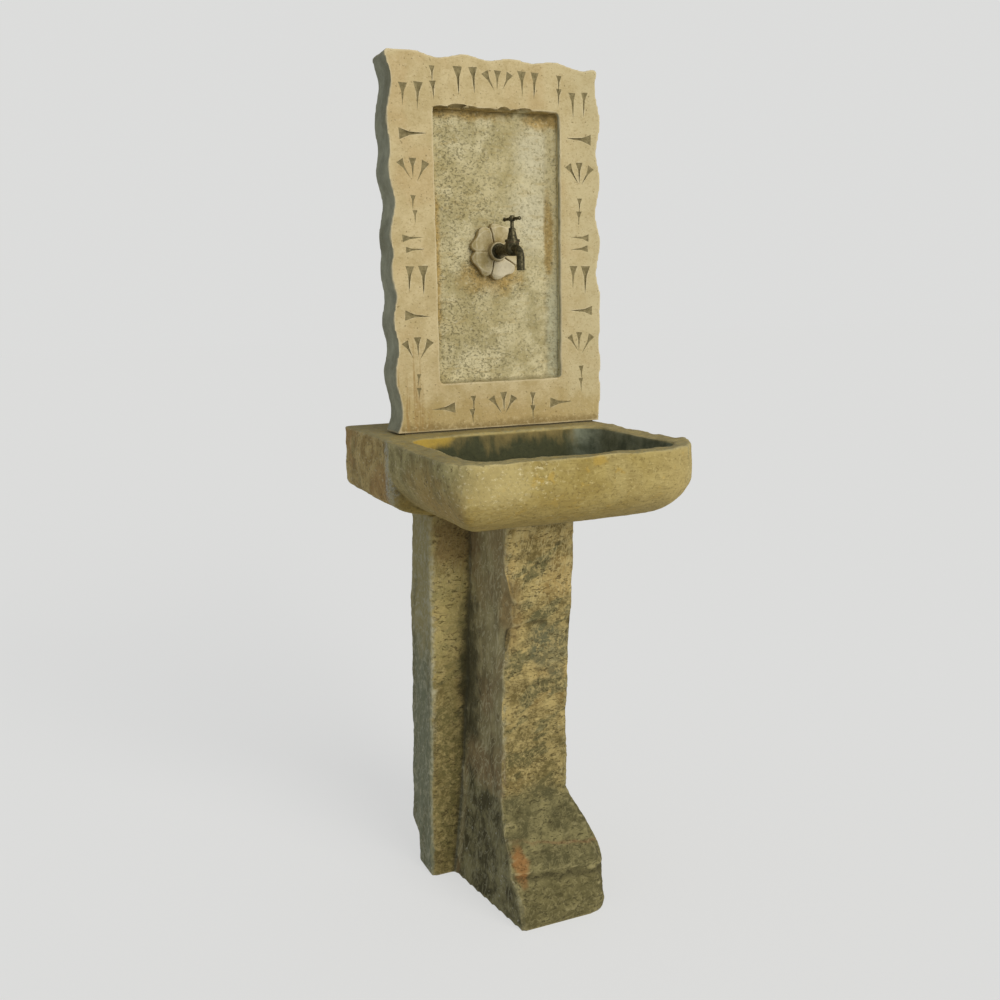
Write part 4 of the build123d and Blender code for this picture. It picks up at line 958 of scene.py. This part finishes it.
# Flower: five petals carved in relief from the slab round the hole for the tap.
# Cut clear of the field, rooted a little way into it, then rounded over and worn.
flower_voxel = 0.0011
root = 0.005
flower = quarried("back_panel", "flower")
cutter = round_cutter(sides=48, depth=0.034, clear=0.0005)
worked(flower, "BOOLEAN", object=cutter, operation="INTERSECT", solver="EXACT")
bpy.data.objects.remove(cutter)
for vertex in flower.data.vertices:
    if vertex.co.y > field_floor - 0.001:
        vertex.co.y += root
worked(flower, "REMESH", mode="VOXEL", voxel_size=flower_voxel)
worked(flower, "SMOOTH", factor=0.5, iterations=5)
roughened(flower, size=0.02, depth=0.0022, noise_depth=2)
roughened(flower, size=0.006, depth=0.0006, noise_depth=2)
shade_and_wear_painted(flower)
flower_stone, place = started("flower_limestone")
tone = dirt_shade_and_wear(place)
patches = cloud(place, 0.02, 5, 0.62)
fine = cloud(place, 0.005, 5, 0.7)
# The petals are darker at the root, where they meet the field: painted shade and dirt
low = step(uneven(along(place, "Y"), patches, 0.008), field_floor - 0.01, field_floor - 0.001)
# The heart round the tap is brown: a stain and painted shade
heart = spot(place, (0.02, 0.12, 1.352), (0.036, 0.08, 0.036), patches, 0.5)
clean = spot(place, (0.045, 0.12, 1.31), (0.03, 0.06, 0.026), patches)
colour = coated(
    tint(step(patches, 0.32, 0.68), (0.43, 0.345, 0.165), (0.62, 0.53, 0.315)),
    ("ochre patches", step(cloud(place, 0.014, 4), 0.5, 0.62), 0.5, (0.43, 0.34, 0.125)),
    ("stain and painted shade at the heart", heart, 0.55, tint(fine, (0.26, 0.19, 0.065), (0.46, 0.36, 0.15))),
    ("clean petal", clean, 0.75, (0.7, 0.63, 0.46)),
    ("painted shade and dirt at the root", low, 0.85, (0.22, 0.15, 0.05)),
    ("specks", step(fine, 0.58, 0.72), 0.4, (0.3, 0.22, 0.09)),
    # Darker in the hollows as dirt and painted shade, paler on proud edges as wear and painted highlight
    ("dirt", below(tone, 0.36, 0.48), 0.6, (0.17, 0.115, 0.04)),
    ("wear", step(tone, 0.52, 0.64), 0.5, (0.68, 0.6, 0.4)),
)
relief = patches * 0.4 + fine * 0.5
finished(flower_stone, colour, roughness=0.74 + fine * 0.22, height=relief, depth=0.0012)
flower.data.materials.clear()
flower.data.materials.append(flower_stone)
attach(flower, "fountain")


# Bib tap: a half-inch screw-down tap in cast bronze, gone almost black.
# Its tail runs through the panel into the elbow, and its flange covers the hole in the flower.
# Inside are a fibre gasket, hemp packing, a rubber washer and a plain brass jumper.
tap_bronze = metal("tap_bronze", (0.035, 0.032, 0.016), (0.1, 0.085, 0.045), 0.34, 0.6, 0.85)
laid(
    tap_bronze, "tap_body", "tap_flange", "tap_bonnet", "gland_nut",
    "tap_spindle", "tap_handle", "handle_screw",
)

fibre, place = started("fibre_and_packing")
strands = cloud(drawn(place, 1, 1, 4), 0.002, 4)
colour = tint(strands, (0.16, 0.09, 0.05), (0.34, 0.2, 0.12))
finished(fibre, colour, roughness=0.8 + strands * 0.2, height=strands, depth=0.0003)
laid(fibre, "bonnet_gasket", "gland_packing")
rubber, place = started("black_rubber")
bloom = cloud(place, 0.004, 4)
colour = tint(bloom, (0.02, 0.02, 0.02), (0.06, 0.06, 0.058))
finished(rubber, colour, roughness=0.6 + bloom * 0.3, height=bloom, depth=0.0002)
laid(rubber, "tap_washer")
brass = metal("plain_brass", (0.42, 0.3, 0.11), (0.66, 0.5, 0.22), 0.28, 0.5)
laid(brass, "jumper_valve", "washer_nut")


# Supply: a dull copper riser in a chase at the back, with a brass elbow above and a brass union below.
# Brass clips on steel studs hold it to the stones.
copper = metal("dull_copper", (0.3, 0.13, 0.07), (0.6, 0.31, 0.19), 0.3, 0.55)
laid(copper, "supply_riser")
laid(brass, "supply_elbow", "riser_clips", "supply_union")
laid(steel, "clip_studs")


# Waste: a strainer of tarnished brass in the floor of the bowl, drawn down on its seal by a nut and washer.
# A grey plastic pipe runs from it down the bore of the pedestal to a spigot.
aged_brass = metal("tarnished_brass", (0.09, 0.075, 0.04), (0.26, 0.21, 0.11), 0.4, 0.65, 0.8)
laid(aged_brass, "waste_strainer")
laid(rubber, "waste_seal", "waste_washer")
laid(brass, "waste_backnut")
grey_plastic, place = started("grey_pipe")
scuffs = cloud(drawn(place, 1, 1, 0.2), 0.01, 4)
colour = tint(scuffs, (0.3, 0.31, 0.32), (0.42, 0.43, 0.44))
finished(grey_plastic, colour, roughness=0.4 + scuffs * 0.25, height=scuffs, depth=0.0002)
laid(grey_plastic, "waste_pipe", "waste_spigot")
